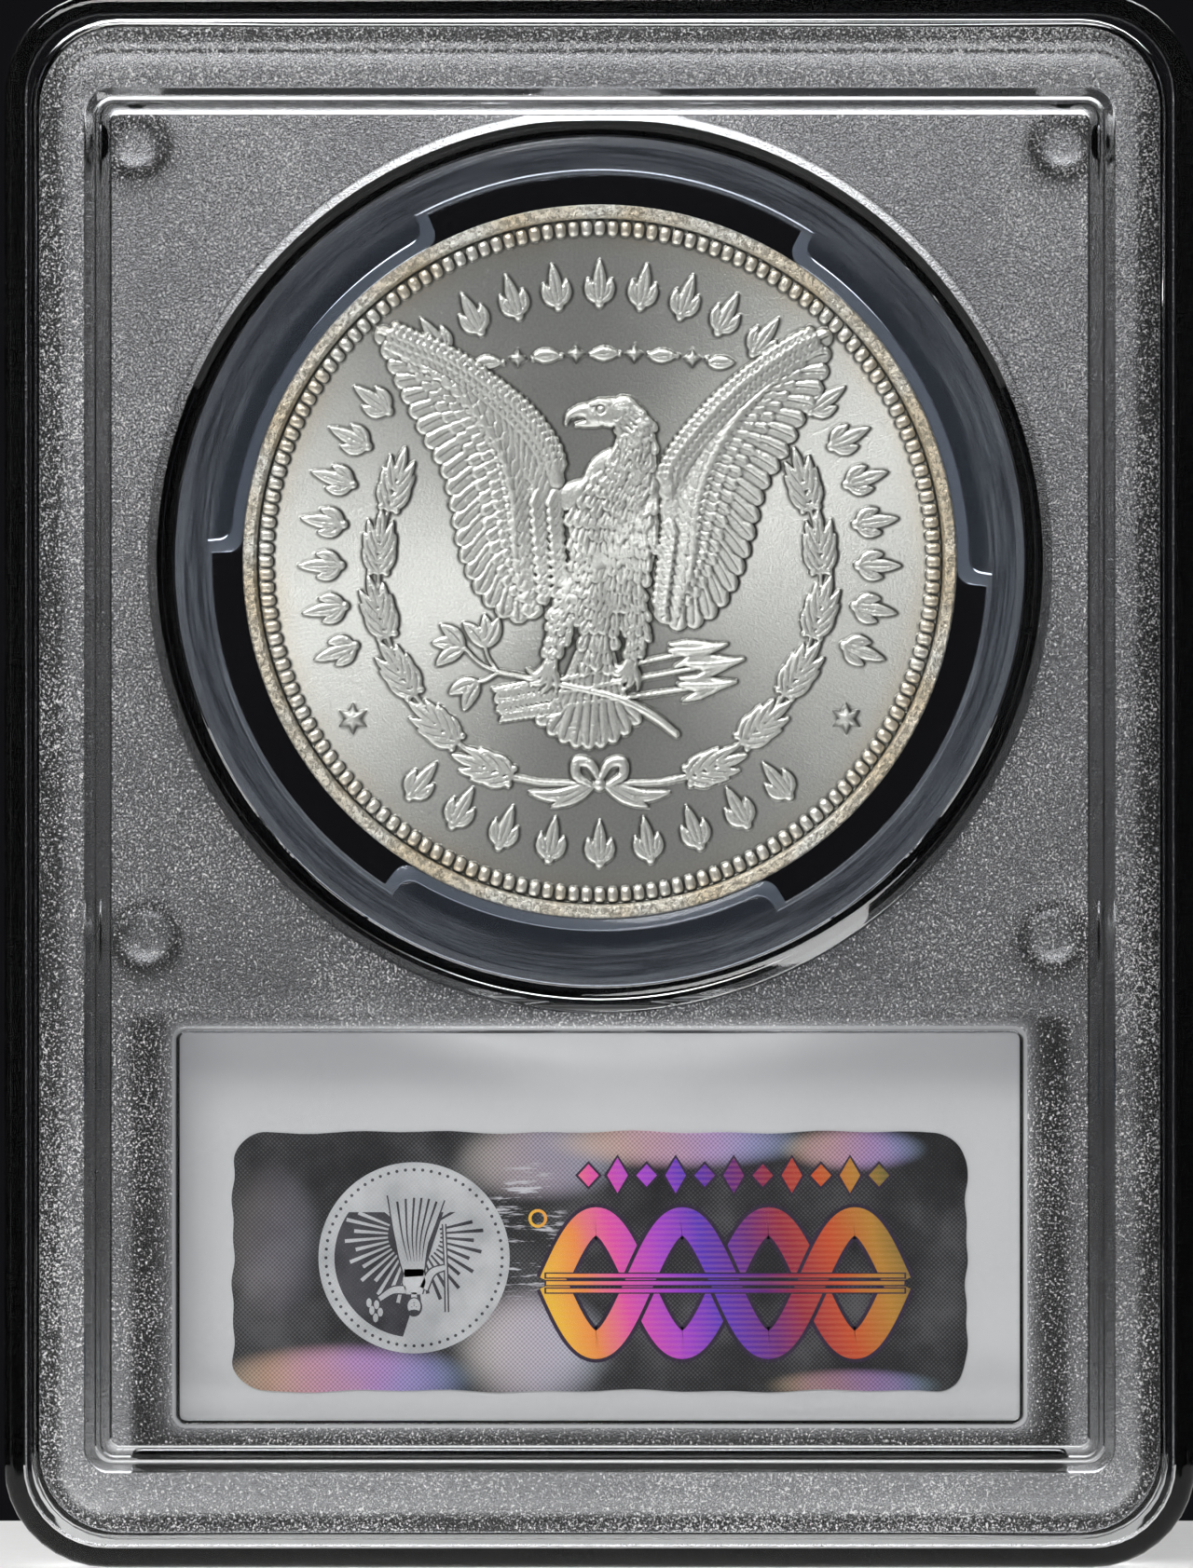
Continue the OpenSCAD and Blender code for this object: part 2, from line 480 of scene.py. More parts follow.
def coin_window(solid, face, sign):
    """A bevelled round window in a face. Returns the loop that the face is filled up to."""
    edge = solid.loop(window_loop(WINDOW_R), face)
    floor = face - sign * WINDOW_STEP
    slope = WINDOW_R - WINDOW_FLOOR_R
    last = solid.loft(
        edge,
        [
            (window_loop(WINDOW_R - 0.08), face - sign * 0.01, POLISHED),
            (window_loop(WINDOW_R - 0.18), face - sign * 0.06, POLISHED),
            (circle_loop(WINDOW_FLOOR_R + 0.30 * slope), floor + sign * 0.16, POLISHED),
            (circle_loop(WINDOW_FLOOR_R + 0.12 * slope), floor + sign * 0.05, POLISHED),
            (circle_loop(WINDOW_FLOOR_R - 0.05), floor + sign * 0.01, BEAD),
            (circle_loop(WINDOW_FLOOR_R - 0.25), floor, POLISHED),
        ],
    )
    solid.fill(last, [], POLISHED)
    return edge


def label_window(solid, face, sign):
    """A rectangular window with a small rounded bead round it. Returns the face's loop."""
    edge = solid.loop(label_loop(LABEL_WINDOW), face)
    bead = [
        (-0.05, 0.05), (-0.14, 0.09), (-0.24, 0.07), (-0.32, 0.0),
        (-0.36, -0.1), (-0.42, -0.14), (-0.55, -0.15),
    ]
    last = solid.loft(
        edge,
        [(label_loop(LABEL_WINDOW, grow), face + sign * rise, POLISHED) for grow, rise in bead],
    )
    solid.fill(last, [], POLISHED)
    return edge


def stacking_bead(solid, edge, face, crown):
    """The raised polished frame with a groove along its crown. edge is its outer foot."""
    rise = crown - face
    # share across the bead, share of its height
    profile = [
        (0.02, 0.20), (0.05, 0.44), (0.09, 0.54), (0.16, 0.67), (0.25, 0.84), (0.32, 0.96), (0.37, 1.0),
        (0.41, 0.93), (0.45, 0.70), (0.48, 0.66), (0.55, 0.66), (0.58, 0.72), (0.62, 0.93), (0.66, 1.0),
        (0.78, 0.97), (0.88, 0.86), (0.94, 0.68), (0.98, 0.25), (1.0, 0.0),
    ]
    steps = []
    for across, height in profile:
        inset, inset_up = BEAD_INSET[0] + BEAD_W * across, BEAD_INSET[1] + BEAD_W * across
        r = 1.35 - 0.95 * across
        steps.append((slab_loop(inset, r, inset_up), face + rise * height, BEAD))
    return solid.loft(edge, steps)


def rear_shell(materials):
    solid = Solid()
    parting = solid.loop(slab_loop(0.06, CORNER_R), 0.0)
    flange_fillet = fillet(0.0, FLANGE - 0.7, 0.7, (1, 1))
    steps = [(slab_loop(0.0, CORNER_R), 0.07, POLISHED), (slab_loop(0.0, CORNER_R), FLANGE - 0.7, POLISHED)]
    steps += [(slab_loop(i, CORNER_R - i), d, POLISHED) for i, d in flange_fillet]
    foot = [(1.6, FLANGE), (1.78, FLANGE + 0.04), (1.87, FLANGE + 0.15), (1.92, REAR_FACE - 0.55)]
    steps += [(slab_loop(i, CORNER_R - i * 0.6), d, POLISHED) for i, d in foot]
    top = [(1.96, 0.44), (2.06, 0.34), (2.2, 0.29), (2.5, 0.24)]
    steps += [(slab_loop(i, CORNER_R - i * 0.6), REAR_FACE - d, FROSTED_RIM) for i, d in top]
    rim = solid.loft(parting, steps)
    bead_foot = solid.loop(slab_loop(BEAD_INSET[0], 1.35, BEAD_INSET[1]), REAR_FACE)
    solid.fill(rim, [bead_foot], FROSTED_RIM)
    field = stacking_bead(solid, bead_foot, REAR_FACE, CROWN)
    holes = [coin_window(solid, REAR_FACE, 1), label_window(solid, REAR_FACE, 1)]
    solid.fill(field, holes, FROSTED)
    inner_side(solid, parting, CHAMBER, groove=True, pocket=True)
    obj = solid.finish("rear_shell_moulding", materials)
    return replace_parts(obj, "rear_shell")


def front_shell(materials):
    solid = Solid()
    parting = solid.loop(slab_loop(0.06, CORNER_R), 0.0)
    steps = [(slab_loop(0.0, CORNER_R), -0.07, POLISHED), (slab_loop(0.0, CORNER_R), LIP + 0.6, POLISHED)]
    steps += [(slab_loop(i, CORNER_R - i), d, POLISHED) for i, d in fillet(0.0, LIP + 0.6, 0.6, (1, -1))]
    recess = [
        (1.25, LIP), (1.4, LIP + 0.05), (1.5, LIP + 0.2),
        (1.55, FRONT_FACE - 0.2), (1.62, FRONT_FACE - 0.06), (1.8, FRONT_FACE),
    ]
    steps += [(slab_loop(i, CORNER_R - i * 0.7), d, POLISHED) for i, d in recess]
    rim = solid.loft(parting, steps)
    holes = [coin_window(solid, FRONT_FACE, -1), label_window(solid, FRONT_FACE, -1)]
    solid.fill(rim, holes, FROSTED)
    inner_side(solid, parting, -CHAMBER, groove=False, pocket=False)
    obj = solid.finish("front_shell_moulding", materials)
    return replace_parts(obj, "front_shell")


# ---- Coin relief ---------------------------------------------------------------------------------

RIM_RISE = 0.3
RIM_FOOT_R = 18.28
BEAD_RING_R = 17.8
REEDS = 180
HOLLOW_DEPTH = 0.016


class Relief:
    """A coin face as a map of heights over its field, in millimetres from the coin's centre."""

    def __init__(self, step):
        self.step = step
        self.axis = np.arange(-COIN_R - 2 * step, COIN_R + 2 * step, step)
        self.x, self.y = np.meshgrid(self.axis, self.axis)
        self.h = np.zeros_like(self.x)

    def near(self, points, margin):
        """The part of the map within margin of some points."""
        low = np.min(points, 0) - margin
        high = np.max(points, 0) + margin
        return tuple(slice(*np.searchsorted(self.axis, (low[k], high[k])) + np.array((0, 1))) for k in (1, 0))

    def along(self, points, margin):
        """For map points near a smooth path: where, share along it and signed distance from it."""
        path = curve(points)
        where = self.near(path, margin)
        x, y = self.x[where], self.y[where]
        best = np.full(x.shape, 1e9)
        share, side = np.zeros(x.shape), np.zeros(x.shape)
        lengths = np.hypot(*np.diff(path, axis=0).T)
        total, run = lengths.sum(), 0.0
        for a, b, length in zip(path[:-1], path[1:], lengths):
            dx, dy = (b - a) / length
            t = (x - a[0]) * dx + (y - a[1]) * dy
            across = (y - a[1]) * dx - (x - a[0]) * dy
            beyond = t - np.clip(t, 0, length)
            distance = np.hypot(across, beyond)
            closer = distance < best
            best[closer] = distance[closer]
            share[closer] = (run + np.clip(t, 0, length)[closer]) / total
            side[closer] = (np.sign(across) * distance)[closer]
            run += length
        return where, share, side

    def blade(self, points, half_w, crest, base=0.0, shape="leaf", rib=0.0, barbs=0.0, tilt=0.0):
        """A leaf or feather along a path, laid over what is under it."""
        where, t, d = self.along(points, half_w * 1.1)
        w = half_w * OUTLINES[shape](t)
        u = d / np.maximum(w, 1e-6)
        inside = (np.abs(u) < 1) & (w > 0.02)
        dome = np.sqrt(np.clip(1 - u * u, 0, 1))
        lap = 1.0 if shape == "leaf" else 0.55 + 0.65 * np.clip(t, 0, 1)
        height = base + crest * (0.35 + 0.65 * dome) * (1 + tilt * u) * lap
        height -= rib * np.exp(-((d / 0.07) ** 2))
        if barbs:
            height += barbs * np.sin((t * 26 + np.abs(u) * 2.2) * math.pi) * dome
        target = self.h[where]
        self.h[where] = np.where(inside, np.maximum(target * 0.15 + height * 0.85, height), target)

    def limb(self, points, widths, crest, base=0.0):
        """A rounded stroke whose half width runs through widths along a path."""
        where, t, d = self.along(points, max(widths))
        w = np.interp(t, np.linspace(0, 1, len(widths)), widths)
        dome = np.sqrt(np.clip(1 - (d / w) ** 2, 0, 1))
        self.raise_to(where, base * (dome > 0) + crest * dome)

    def bead(self, at, r, crest, base=0.0):
        where = self.near([at], r)
        q = np.hypot(self.x[where] - at[0], self.y[where] - at[1]) / r
        self.raise_to(where, np.where(q < 1, base + crest * np.sqrt(np.clip(1 - q * q, 0, 1)), 0))

    def star(self, at, r, crest, points=6, turn=90.0):
        """A star whose points are ridged like a pyramid."""
        where = self.near([at], r)
        dx, dy = self.x[where] - at[0], self.y[where] - at[1]
        wedge = 2 * math.pi / points
        angle = (np.arctan2(dy, dx) - math.radians(turn) + wedge / 2) % wedge - wedge / 2
        reach = np.hypot(dx, dy)
        inner = r * 0.5
        tip = np.array([r, 0.0])
        notch = inner * np.array([math.cos(wedge / 2), math.sin(wedge / 2)])
        px, py = reach * np.cos(angle), reach * np.abs(np.sin(angle))
        normal = np.array([notch[1] - tip[1], tip[0] - notch[0]])
        normal = normal / np.hypot(*normal)
        depth = (tip[0] - px) * normal[0] - (py - tip[1]) * normal[1]
        height = crest * np.clip(depth / (0.45 * r), 0, 1) ** 0.7
        self.raise_to(where, height)

    def raise_to(self, where, height):
        self.h[where] = np.maximum(self.h[where], height)

    def ring(self, low_r, high_r, height, soft=0.06):
        r = np.hypot(self.x, self.y)
        edge = np.clip((r - low_r) / soft, 0, 1) * np.clip((high_r - r) / soft, 0, 1)
        self.h = np.maximum(self.h, height * np.sqrt(edge))

    def soften(self, passes=1):
        for _ in range(passes):
            h = np.pad(self.h, 1, mode="edge")
            self.h = (
                4 * h[1:-1, 1:-1] + 2 * (h[:-2, 1:-1] + h[2:, 1:-1] + h[1:-1, :-2] + h[1:-1, 2:])
                + h[:-2, :-2] + h[2:, 2:] + h[:-2, 2:] + h[2:, :-2]
            ) / 16

    def hollow(self):
        """How far each point lies below its surroundings, about -1 on a crest to 1 in a crease."""
        own = self.h
        self.soften(round(0.3 / self.step))
        around, self.h = self.h, own
        return np.clip((around - own) / HOLLOW_DEPTH, -1, 1)

    def at(self, values, x, y):
        """A map's values at any points, between the map's own."""
        fx = (x - self.axis[0]) / self.step
        fy = (y - self.axis[0]) / self.step
        ix = np.clip(fx.astype(int), 0, len(self.axis) - 2)
        iy = np.clip(fy.astype(int), 0, len(self.axis) - 2)
        sx, sy = fx - ix, fy - iy
        low = values[iy, ix] * (1 - sx) + values[iy, ix + 1] * sx
        high = values[iy + 1, ix] * (1 - sx) + values[iy + 1, ix + 1] * sx
        return low * (1 - sy) + high * sy


OUTLINES = {
    # half width along a blade, from root to tip
    "leaf": lambda t: np.sin(math.pi * np.clip(t, 0, 1) ** 0.85) ** 0.85,
    "feather": lambda t: np.minimum(np.clip(t / 0.15, 0, 1) ** 0.5, 1)
    * np.sqrt(np.clip(1 - np.clip((t - 0.86) / 0.14, 0, 1) ** 2, 0, 1)),
    "tuft": lambda t: np.clip(t + 0.35, 0, 1)
    * np.sqrt(np.clip(1 - np.clip((t - 0.6) / 0.4, 0, 1) ** 2, 0, 1)),
    "dart": lambda t: np.clip(1 - t, 0, 1),
}


def curve(points, n=14):
    """A smooth path through control points: straight for two, Catmull-Rom for more."""
    p = np.array(points, float)
    if len(p) == 2:
        return p
    ends = np.vstack([2 * p[0] - p[1], p, 2 * p[-1] - p[-2]])
    made = []
    per = max(3, n // (len(p) - 1))
    for a, b, c, d in zip(ends, ends[1:], ends[2:], ends[3:]):
        t = np.linspace(0, 1, per, endpoint=False)[:, None]
        square = (2 * a - 5 * b + 4 * c - d) * t**2
        cube = (3 * b - a - 3 * c + d) * t**3
        made.append(0.5 * (2 * b + (c - a) * t + square + cube))
    return np.vstack(made + [p[-1:]])


def walk(points, shares):
    """Points at shares of the length of a smooth path, and its direction at each, in radians."""
    path = curve(points, 60)
    run = np.append(0, np.cumsum(np.hypot(*np.diff(path, axis=0).T)))
    at = np.stack([np.interp(np.array(shares) * run[-1], run, path[:, k]) for k in (0, 1)], 1)
    ahead = np.stack([np.interp(np.array(shares) * run[-1] + 0.05, run, path[:, k]) for k in (0, 1)], 1)
    behind = np.stack([np.interp(np.array(shares) * run[-1] - 0.05, run, path[:, k]) for k in (0, 1)], 1)
    step = ahead - behind
    return at, np.arctan2(step[:, 1], step[:, 0])


def toward(angle):
    return np.array((math.cos(angle), math.sin(angle)))


def polar(r, degrees):
    a = math.radians(degrees)
    return np.array((r * math.cos(a), r * math.sin(a)))


def rim_and_beads(face, beads=160):
    """The raised rim with a row of struck beads inside it."""
    r = np.hypot(face.x, face.y)
    angle = np.arctan2(face.y, face.x) * beads / (2 * math.pi)
    across = (angle - np.round(angle)) * 2 * math.pi * BEAD_RING_R / beads
    u = np.clip(np.abs(across) / 0.29, 0, 1)
    v = np.clip(np.abs(r - BEAD_RING_R) / 0.40, 0, 1)
    dome = np.clip(1 - u**3 - v**3, 0, 1)
    face.h = np.maximum(face.h, 0.22 * np.sqrt(dome))
    face.ring(RIM_FOOT_R, 20.0, RIM_RISE, 0.12)


def wing(face, side, lead, trail, roots, inner):
    """A raised wing: flight feathers from its arm to its trailing edge, under rows of coverts."""
    count = 21
    shares = np.linspace(0.0, 1.0, count)
    tips, _ = walk(trail, shares)
    starts, _ = walk(roots, shares)
    for i in reversed(range(count)):
        root, tip = starts[i], tips[i]
        span = tip - root
        bow = 0.07 * np.array((-side * span[1], side * span[0]))
        path = [root - 0.15 * span, (root + tip) / 2 + bow, tip]
        face.blade(path, 0.5, 0.11, 0.06 + 0.04 * i / count, "feather", rib=0.05, tilt=0.6 * side)
    for row, (reach, wide, lift) in enumerate([(0.56, 0.36, 0.16), (0.36, 0.32, 0.185), (0.18, 0.28, 0.2)]):
        more = int(count * (1.15 + 0.25 * row))
        shares = (np.arange(more) + 0.5 * (row % 2)) / more
        tips, _ = walk(trail, shares)
        starts, _ = walk(roots, shares)
        for root, tip in reversed(list(zip(starts, tips))):
            end = root + (tip - root) * reach
            path = [root - 0.1 * (tip - root), end]
            face.blade(path, wide, 0.09, lift - 0.04, "feather", rib=0.04, tilt=0.6 * side)
    arm, _ = walk(lead, np.linspace(0.12, 1.0, 20))
    under, _ = walk(roots, np.linspace(0.0, 0.95, 20))
    for start, end in reversed(list(zip(arm, under))):
        face.blade([start, end + 0.15 * (end - start)], 0.5, 0.1, 0.15, "feather", rib=0.04, tilt=0.6 * side)
    for column, (top, bottom) in enumerate(inner):
        shares = np.linspace(0, 1, 11)
        for share in reversed(shares):
            at = np.array(top) + (np.array(bottom) - np.array(top)) * share
            end = at + (side * 0.42, -0.95)
            face.blade([at, end], 0.33, 0.1, 0.13 + 0.03 * column, "feather", rib=0.03, tilt=0.6 * side)
    face.limb(lead, [0.14, 0.3, 0.42, 0.5, 0.5, 0.42], 0.13, 0.15)
    spots, headings = walk(lead, np.linspace(0.1, 0.97, 30))
    for spot, heading in zip(spots, headings):
        for offset in (-0.75, -0.35, 0.0, 0.3):
            at = spot - side * offset * np.array((-math.sin(heading), math.cos(heading)))
            turn = heading + math.pi + side * 0.35
            back = at + 0.75 * toward(turn)
            face.blade([at, back], 0.26, 0.11, 0.24 - 0.12 * abs(offset), "tuft", rib=0.04)


def plumage(face, path, widths, rows, lift, length=1.0, wide=0.33):
    """Small overlapping feathers over a limb, row by row against its direction."""
    rng = np.random.default_rng(rows)
    shares = np.linspace(0.98, 0.02, rows)
    spots, headings = walk(path, shares)
    halves = np.interp(shares, np.linspace(0, 1, len(widths)), widths)
    for row, (spot, heading, half) in enumerate(zip(spots, headings, halves)):
        across = np.array((-math.sin(heading), math.cos(heading)))
        forward = toward(heading)
        n = max(2, int(half * 2 / (wide * 1.3)))
        for k in range(n + row % 2):
            u = (k + 0.5 * (1 - row % 2)) / n * 2 - 1
            if abs(u) > 0.95:
                continue
            at = spot + across * u * half * 0.95 + forward * rng.uniform(-0.2, 0.2)
            reach = length * rng.uniform(0.8, 1.15)
            end = at + reach * (forward + across * (0.25 * u + rng.uniform(-0.15, 0.15)))
            dome = math.sqrt(1 - u * u)
            face.blade([at, end], wide, 0.12, lift * dome + 0.05, "tuft", rib=0.05)


def leaf_cluster(face, at, heading):
    """Slender leaves in pairs up a stem, one at its tip, with two berries at their foot."""
    ahead = toward(heading)
    for along, turn, length in [(0.0, 40, 1.7), (0.5, 33, 2.0), (1.1, 25, 2.0), (1.7, 0, 1.9)]:
        foot = at + along * ahead
        for side in ((-1, 1) if turn else (1,)):
            a = heading + math.radians(turn * side)
            b = heading + math.radians(turn * side * 0.6)
            mid = foot + length * 0.5 * toward(a)
            tip = mid + length * 0.5 * toward(b)
            face.blade([foot, mid, tip], 0.27, 0.12, 0.03 + 0.02 * along, "leaf", rib=0.06)
    for turn in (-75, 75):
        a = heading + math.radians(turn)
        face.bead(at + 0.45 * toward(a), 0.2, 0.15)


def wreath(face):
    """Two branches that rise from a bow."""
    for side in (-1, 1):
        stem = [
            (side * 0.5, -11.9), (side * 4.6, -11.5), (side * 8.3, -9.0),
            (side * 10.7, -5.6), (side * 11.8, -1.6), (side * 11.4, 2.2), (side * 10.7, 4.2),
        ]
        face.limb(stem, [0.16, 0.16, 0.14, 0.12, 0.1], 0.1)
        spots, headings = walk(stem, [0.93, 0.78, 0.63, 0.48, 0.33, 0.18])
        for spot, heading in zip(spots, headings):
            leaf_cluster(face, spot, heading)
        for half_w, middle, tip in [(0.36, (2.2, -12.5), (3.9, -12.3)), (0.32, (1.6, -12.7), (2.7, -13.1))]:
            tail = [(side * x, up) for x, up in [(0.2, -11.9), middle, tip]]
            face.blade(tail, half_w, 0.12, 0.03, "leaf", rib=0.05)
        turns = [(0, -11.7), (0.5, -10.8), (1.2, -10.7), (1.25, -11.4), (0.5, -11.9)]
        loop = [(side * x, up) for x, up in turns]
        face.limb(loop, [0.14, 0.24, 0.3, 0.26, 0.14], 0.14, 0.04)
    face.bead((0, -11.9), 0.34, 0.22)


def palmette(face, degrees, r=14.95, size=1.35, inward=False):
    """A small three-leaved bud that points outwards, or inwards."""
    sign = -1 if inward else 1
    heading = math.radians(degrees) + (math.pi if inward else 0)
    foot = polar(r - sign * 0.85 * size, degrees)
    for turn, length, half in [(38, 1.15, 0.24), (-38, 1.15, 0.24), (0, 1.75, 0.27)]:
        a = heading + math.radians(turn)
        b = heading + math.radians(turn * 0.3)
        mid = foot + size * length / 2 * toward(a)
        tip = mid + size * length / 2 * toward(b)
        face.blade([foot, mid, tip], half * size, 0.13, 0.02, "leaf", rib=0.04)
    face.bead(foot, 0.2 * size, 0.15)


def eagle(face):
    """An eagle with raised wings, seen from the front with its head turned."""
    wing(
        face, -1,
        [(-11.8, 12.4), (-10.0, 11.6), (-8.0, 10.7), (-5.9, 9.3), (-3.9, 7.6), (-2.7, 5.9), (-2.3, 4.3)],
        [(-12.0, 12.2), (-11.3, 10.4), (-10.4, 8.4), (-9.4, 6.4), (-8.4, 4.6), (-7.9, 2.7), (-7.6, 1.0),
         (-7.2, -0.4), (-6.4, -1.9), (-5.5, -2.8), (-4.4, -3.3), (-3.4, -3.0)],
        [(-9.6, 10.9), (-7.2, 8.9), (-5.3, 6.4), (-4.4, 3.6), (-4.2, 1.0), (-4.0, -0.6), (-3.6, -1.2)],
        [((-3.9, 4.4), (-3.5, -1.9)), ((-3.1, 3.8), (-2.7, -1.3)), ((-2.2, 3.8), (-1.9, -0.8))],
    )
    wing(
        face, 1,
        [(12.1, 12.2), (10.2, 11.2), (8.2, 9.8), (6.4, 8.2), (4.8, 6.4), (3.9, 5.0), (3.6, 3.7)],
        [(12.4, 12.1), (12.1, 9.7), (10.9, 7.4), (10.0, 5.6), (8.9, 3.8), (8.4, 2.2), (7.9, 0.3),
         (7.0, -1.8), (6.0, -3.0), (4.9, -3.6), (3.8, -3.6), (3.2, -3.2)],
        [(9.6, 10.4), (7.3, 8.0), (5.7, 5.4), (4.9, 2.9), (4.7, 0.8), (4.4, -0.8), (3.8, -1.6)],
        [((4.3, 3.6), (3.7, -2.0)), ((3.5, 2.2), (3.0, -1.9))],
    )
    for k in (0, 8, 1, 7, 2, 6, 3, 5, 4):
        spread = (k - 4) / 4
        tip = (-0.6 + 2.75 * spread, -10.0 + 1.35 * spread**2)
        face.blade(
            [(-0.2 + 0.35 * spread, -4.2), (-0.45 + 1.5 * spread, -7.4), tip],
            0.47, 0.12, 0.1 - 0.04 * abs(spread), "feather", rib=0.05, tilt=0.5 * spread,
        )
    hips = [
        ([(-1.2, -0.8), (-1.7, -2.4), (-2.3, -3.9), (-2.6, -5.4)], [0.9, 0.85, 0.62, 0.32]),
        ([(1.5, -0.9), (1.8, -2.6), (1.9, -4.1), (1.7, -5.4)], [0.8, 0.8, 0.6, 0.34]),
    ]
    for thigh, widths in hips:
        face.limb(thigh, widths, 0.17, 0.04)
        plumage(face, thigh, widths, 10, 0.16, 0.85, 0.22)
    shoulders = [(-2.7, 3.1), (-1.2, 3.55), (0.6, 3.8), (2.3, 4.2)]
    face.limb(shoulders, [0.6, 0.75, 0.9, 0.9], 0.17, 0.05)
    breast = [(1.2, 4.0), (0.8, 2.6), (0.7, 0.8), (0.35, -1.4), (0.05, -3.4), (-0.1, -5.2)]
    breast_widths = [2.1, 2.45, 2.3, 1.75, 1.05, 0.75]
    face.limb(breast, breast_widths, 0.2, 0.06)
    neck = [(1.3, 8.1), (1.85, 7.2), (1.9, 6.1), (1.6, 4.9), (1.3, 4.1)]
    neck_widths = [0.75, 0.95, 1.15, 1.35, 1.7]
    face.limb(neck, neck_widths, 0.2, 0.06)
    plumage(face, breast, breast_widths, 15, 0.19, 0.98, 0.32)
    plumage(face, neck, neck_widths, 11, 0.20, 0.9, 0.24)
    head(face)


def head(face):
    face.limb([(1.3, 8.0), (0.5, 7.95), (-0.3, 7.8)], [0.72, 0.78, 0.5], 0.2, 0.06)
    face.limb([(-0.2, 8.0), (-0.95, 8.05), (-1.6, 7.8), (-1.8, 7.35)], [0.42, 0.36, 0.22, 0.06], 0.17, 0.05)
    face.limb([(-0.1, 7.45), (-0.8, 7.35), (-1.3, 7.3)], [0.26, 0.2, 0.06], 0.13, 0.03)
    face.limb([(-0.5, 8.4), (0.05, 8.55), (0.6, 8.45)], [0.08, 0.14, 0.1], 0.06, 0.22)
    where = face.near([(0.05, 8.12)], 0.3)
    q = np.hypot(face.x[where] - 0.05, face.y[where] - 8.12)
    face.h[where] -= 0.12 * np.exp(-(((q - 0.2) / 0.05) ** 2))
    for row, r in enumerate((0.5, 0.8, 1.1)):
        for turn in np.arange(-80, 81, 20) + 10 * (row % 2):
            a = math.radians(turn)
            at = (0.55 + r * math.cos(a), 7.85 + 0.75 * r * math.sin(a))
            face.blade([at, (at[0] + 0.42, at[1] - 0.16 - 0.1 * row)], 0.11, 0.035, 0.25 - 0.03 * row, "tuft")


def bud_ring(face, gaps=()):
    """Buds round the coin where a legend would be, with gaps of 7 degrees to either side of some angles."""
    for degrees in np.linspace(199, -19, 25):
        if all(abs(degrees - gap) > 7 for gap in gaps):
            palmette(face, degrees)
    for degrees in np.linspace(231, 309, 9):
        palmette(face, degrees, inward=True)


def claws_and_what_they_hold(face):
    """A leafy branch to the left and three arrows to the right, gripped by both feet."""
    arrows = [((-5.4, -7.0), (6.9, -4.4)), ((-5.3, -7.6), (7.8, -5.2)), ((-5.1, -8.2), (7.4, -6.4))]
    for foot, point in arrows:
        start, end = np.array(foot), np.array(point)
        ahead = (end - start) / np.hypot(*(end - start))
        side = np.array((-ahead[1], ahead[0]))
        face.limb([start, end - ahead * 2.0], [0.1, 0.1], 0.12, 0.1)
        head_path = [end - ahead * 3.3 + side * 0.3, end - ahead * 1.5, end]
        face.blade(head_path, 0.34, 0.14, 0.06, "leaf", rib=-0.06)
        for s in (-1, 1):
            barb = end - ahead * 3.1 + side * s * 0.62
            face.limb([barb, end - ahead * 0.4], [0.05, 0.26, 0.2, 0.05], 0.12, 0.06)
        for k in range(12):
            foot = start + ahead * (0.28 * k + 0.1)
            for s in (-1, 1):
                face.blade([foot, foot - ahead * 0.42 + side * s * 0.36], 0.13, 0.07, 0.07, "leaf")
    branch = [(-5.4, -5.9), (-3.4, -6.3), (-1.4, -6.7), (1.0, -7.3), (2.8, -8.2), (4.1, -9.2)]
    face.limb(branch, [0.1, 0.13, 0.15, 0.17, 0.22, 0.16], 0.15, 0.12)
    twigs = [
        ([(-5.4, -5.9), (-6.4, -5.4), (-7.2, -4.6)], [165, 130, 205]),
        ([(-5.4, -5.9), (-5.9, -5.2), (-6.1, -4.6)], [125, 85, 60]),
        ([(-5.4, -5.9), (-6.0, -6.3), (-6.4, -6.4)], [195, 235]),
    ]
    for twig, turns in twigs:
        face.limb(twig, [0.09, 0.09], 0.12, 0.03)
        for turn in turns:
            a, b = math.radians(turn), math.radians(turn + 14)
            foot = np.array(twig[-1])
            mid = foot + 0.95 * toward(a)
            tip = mid + 0.9 * toward(b)
            face.blade([foot, mid, tip], 0.4, 0.13, 0.03, "leaf", rib=0.06)
    for x, up in ((-2.75, -5.9), (1.6, -5.8)):
        for turn in (-165, -125, -85, -45):
            a = math.radians(turn)
            knee = np.array((x, up)) + 0.62 * toward(a)
            tip = knee + 0.6 * np.array((math.cos(a - 0.8), math.sin(a - 0.8)))
            face.limb([(x, up + 0.4), knee, tip], [0.26, 0.24, 0.05], 0.16, 0.14)


def marks(face, seed, count):
    """Nicks and hairlines that coins pick up in the mint's bags."""
    rng = np.random.default_rng(seed)
    for _ in range(count):
        r, a, turn = 16.5 * math.sqrt(rng.random()), 360 * rng.random(), 360 * rng.random()
        at = polar(r, a)
        length = rng.uniform(0.15, 1.3)
        where, _, d = face.along([at, at + polar(length, turn)], 0.08)
        face.h[where] -= rng.uniform(0.004, 0.02) * np.exp(-((d / 0.03) ** 2)) * (face.h[where] > -0.01)


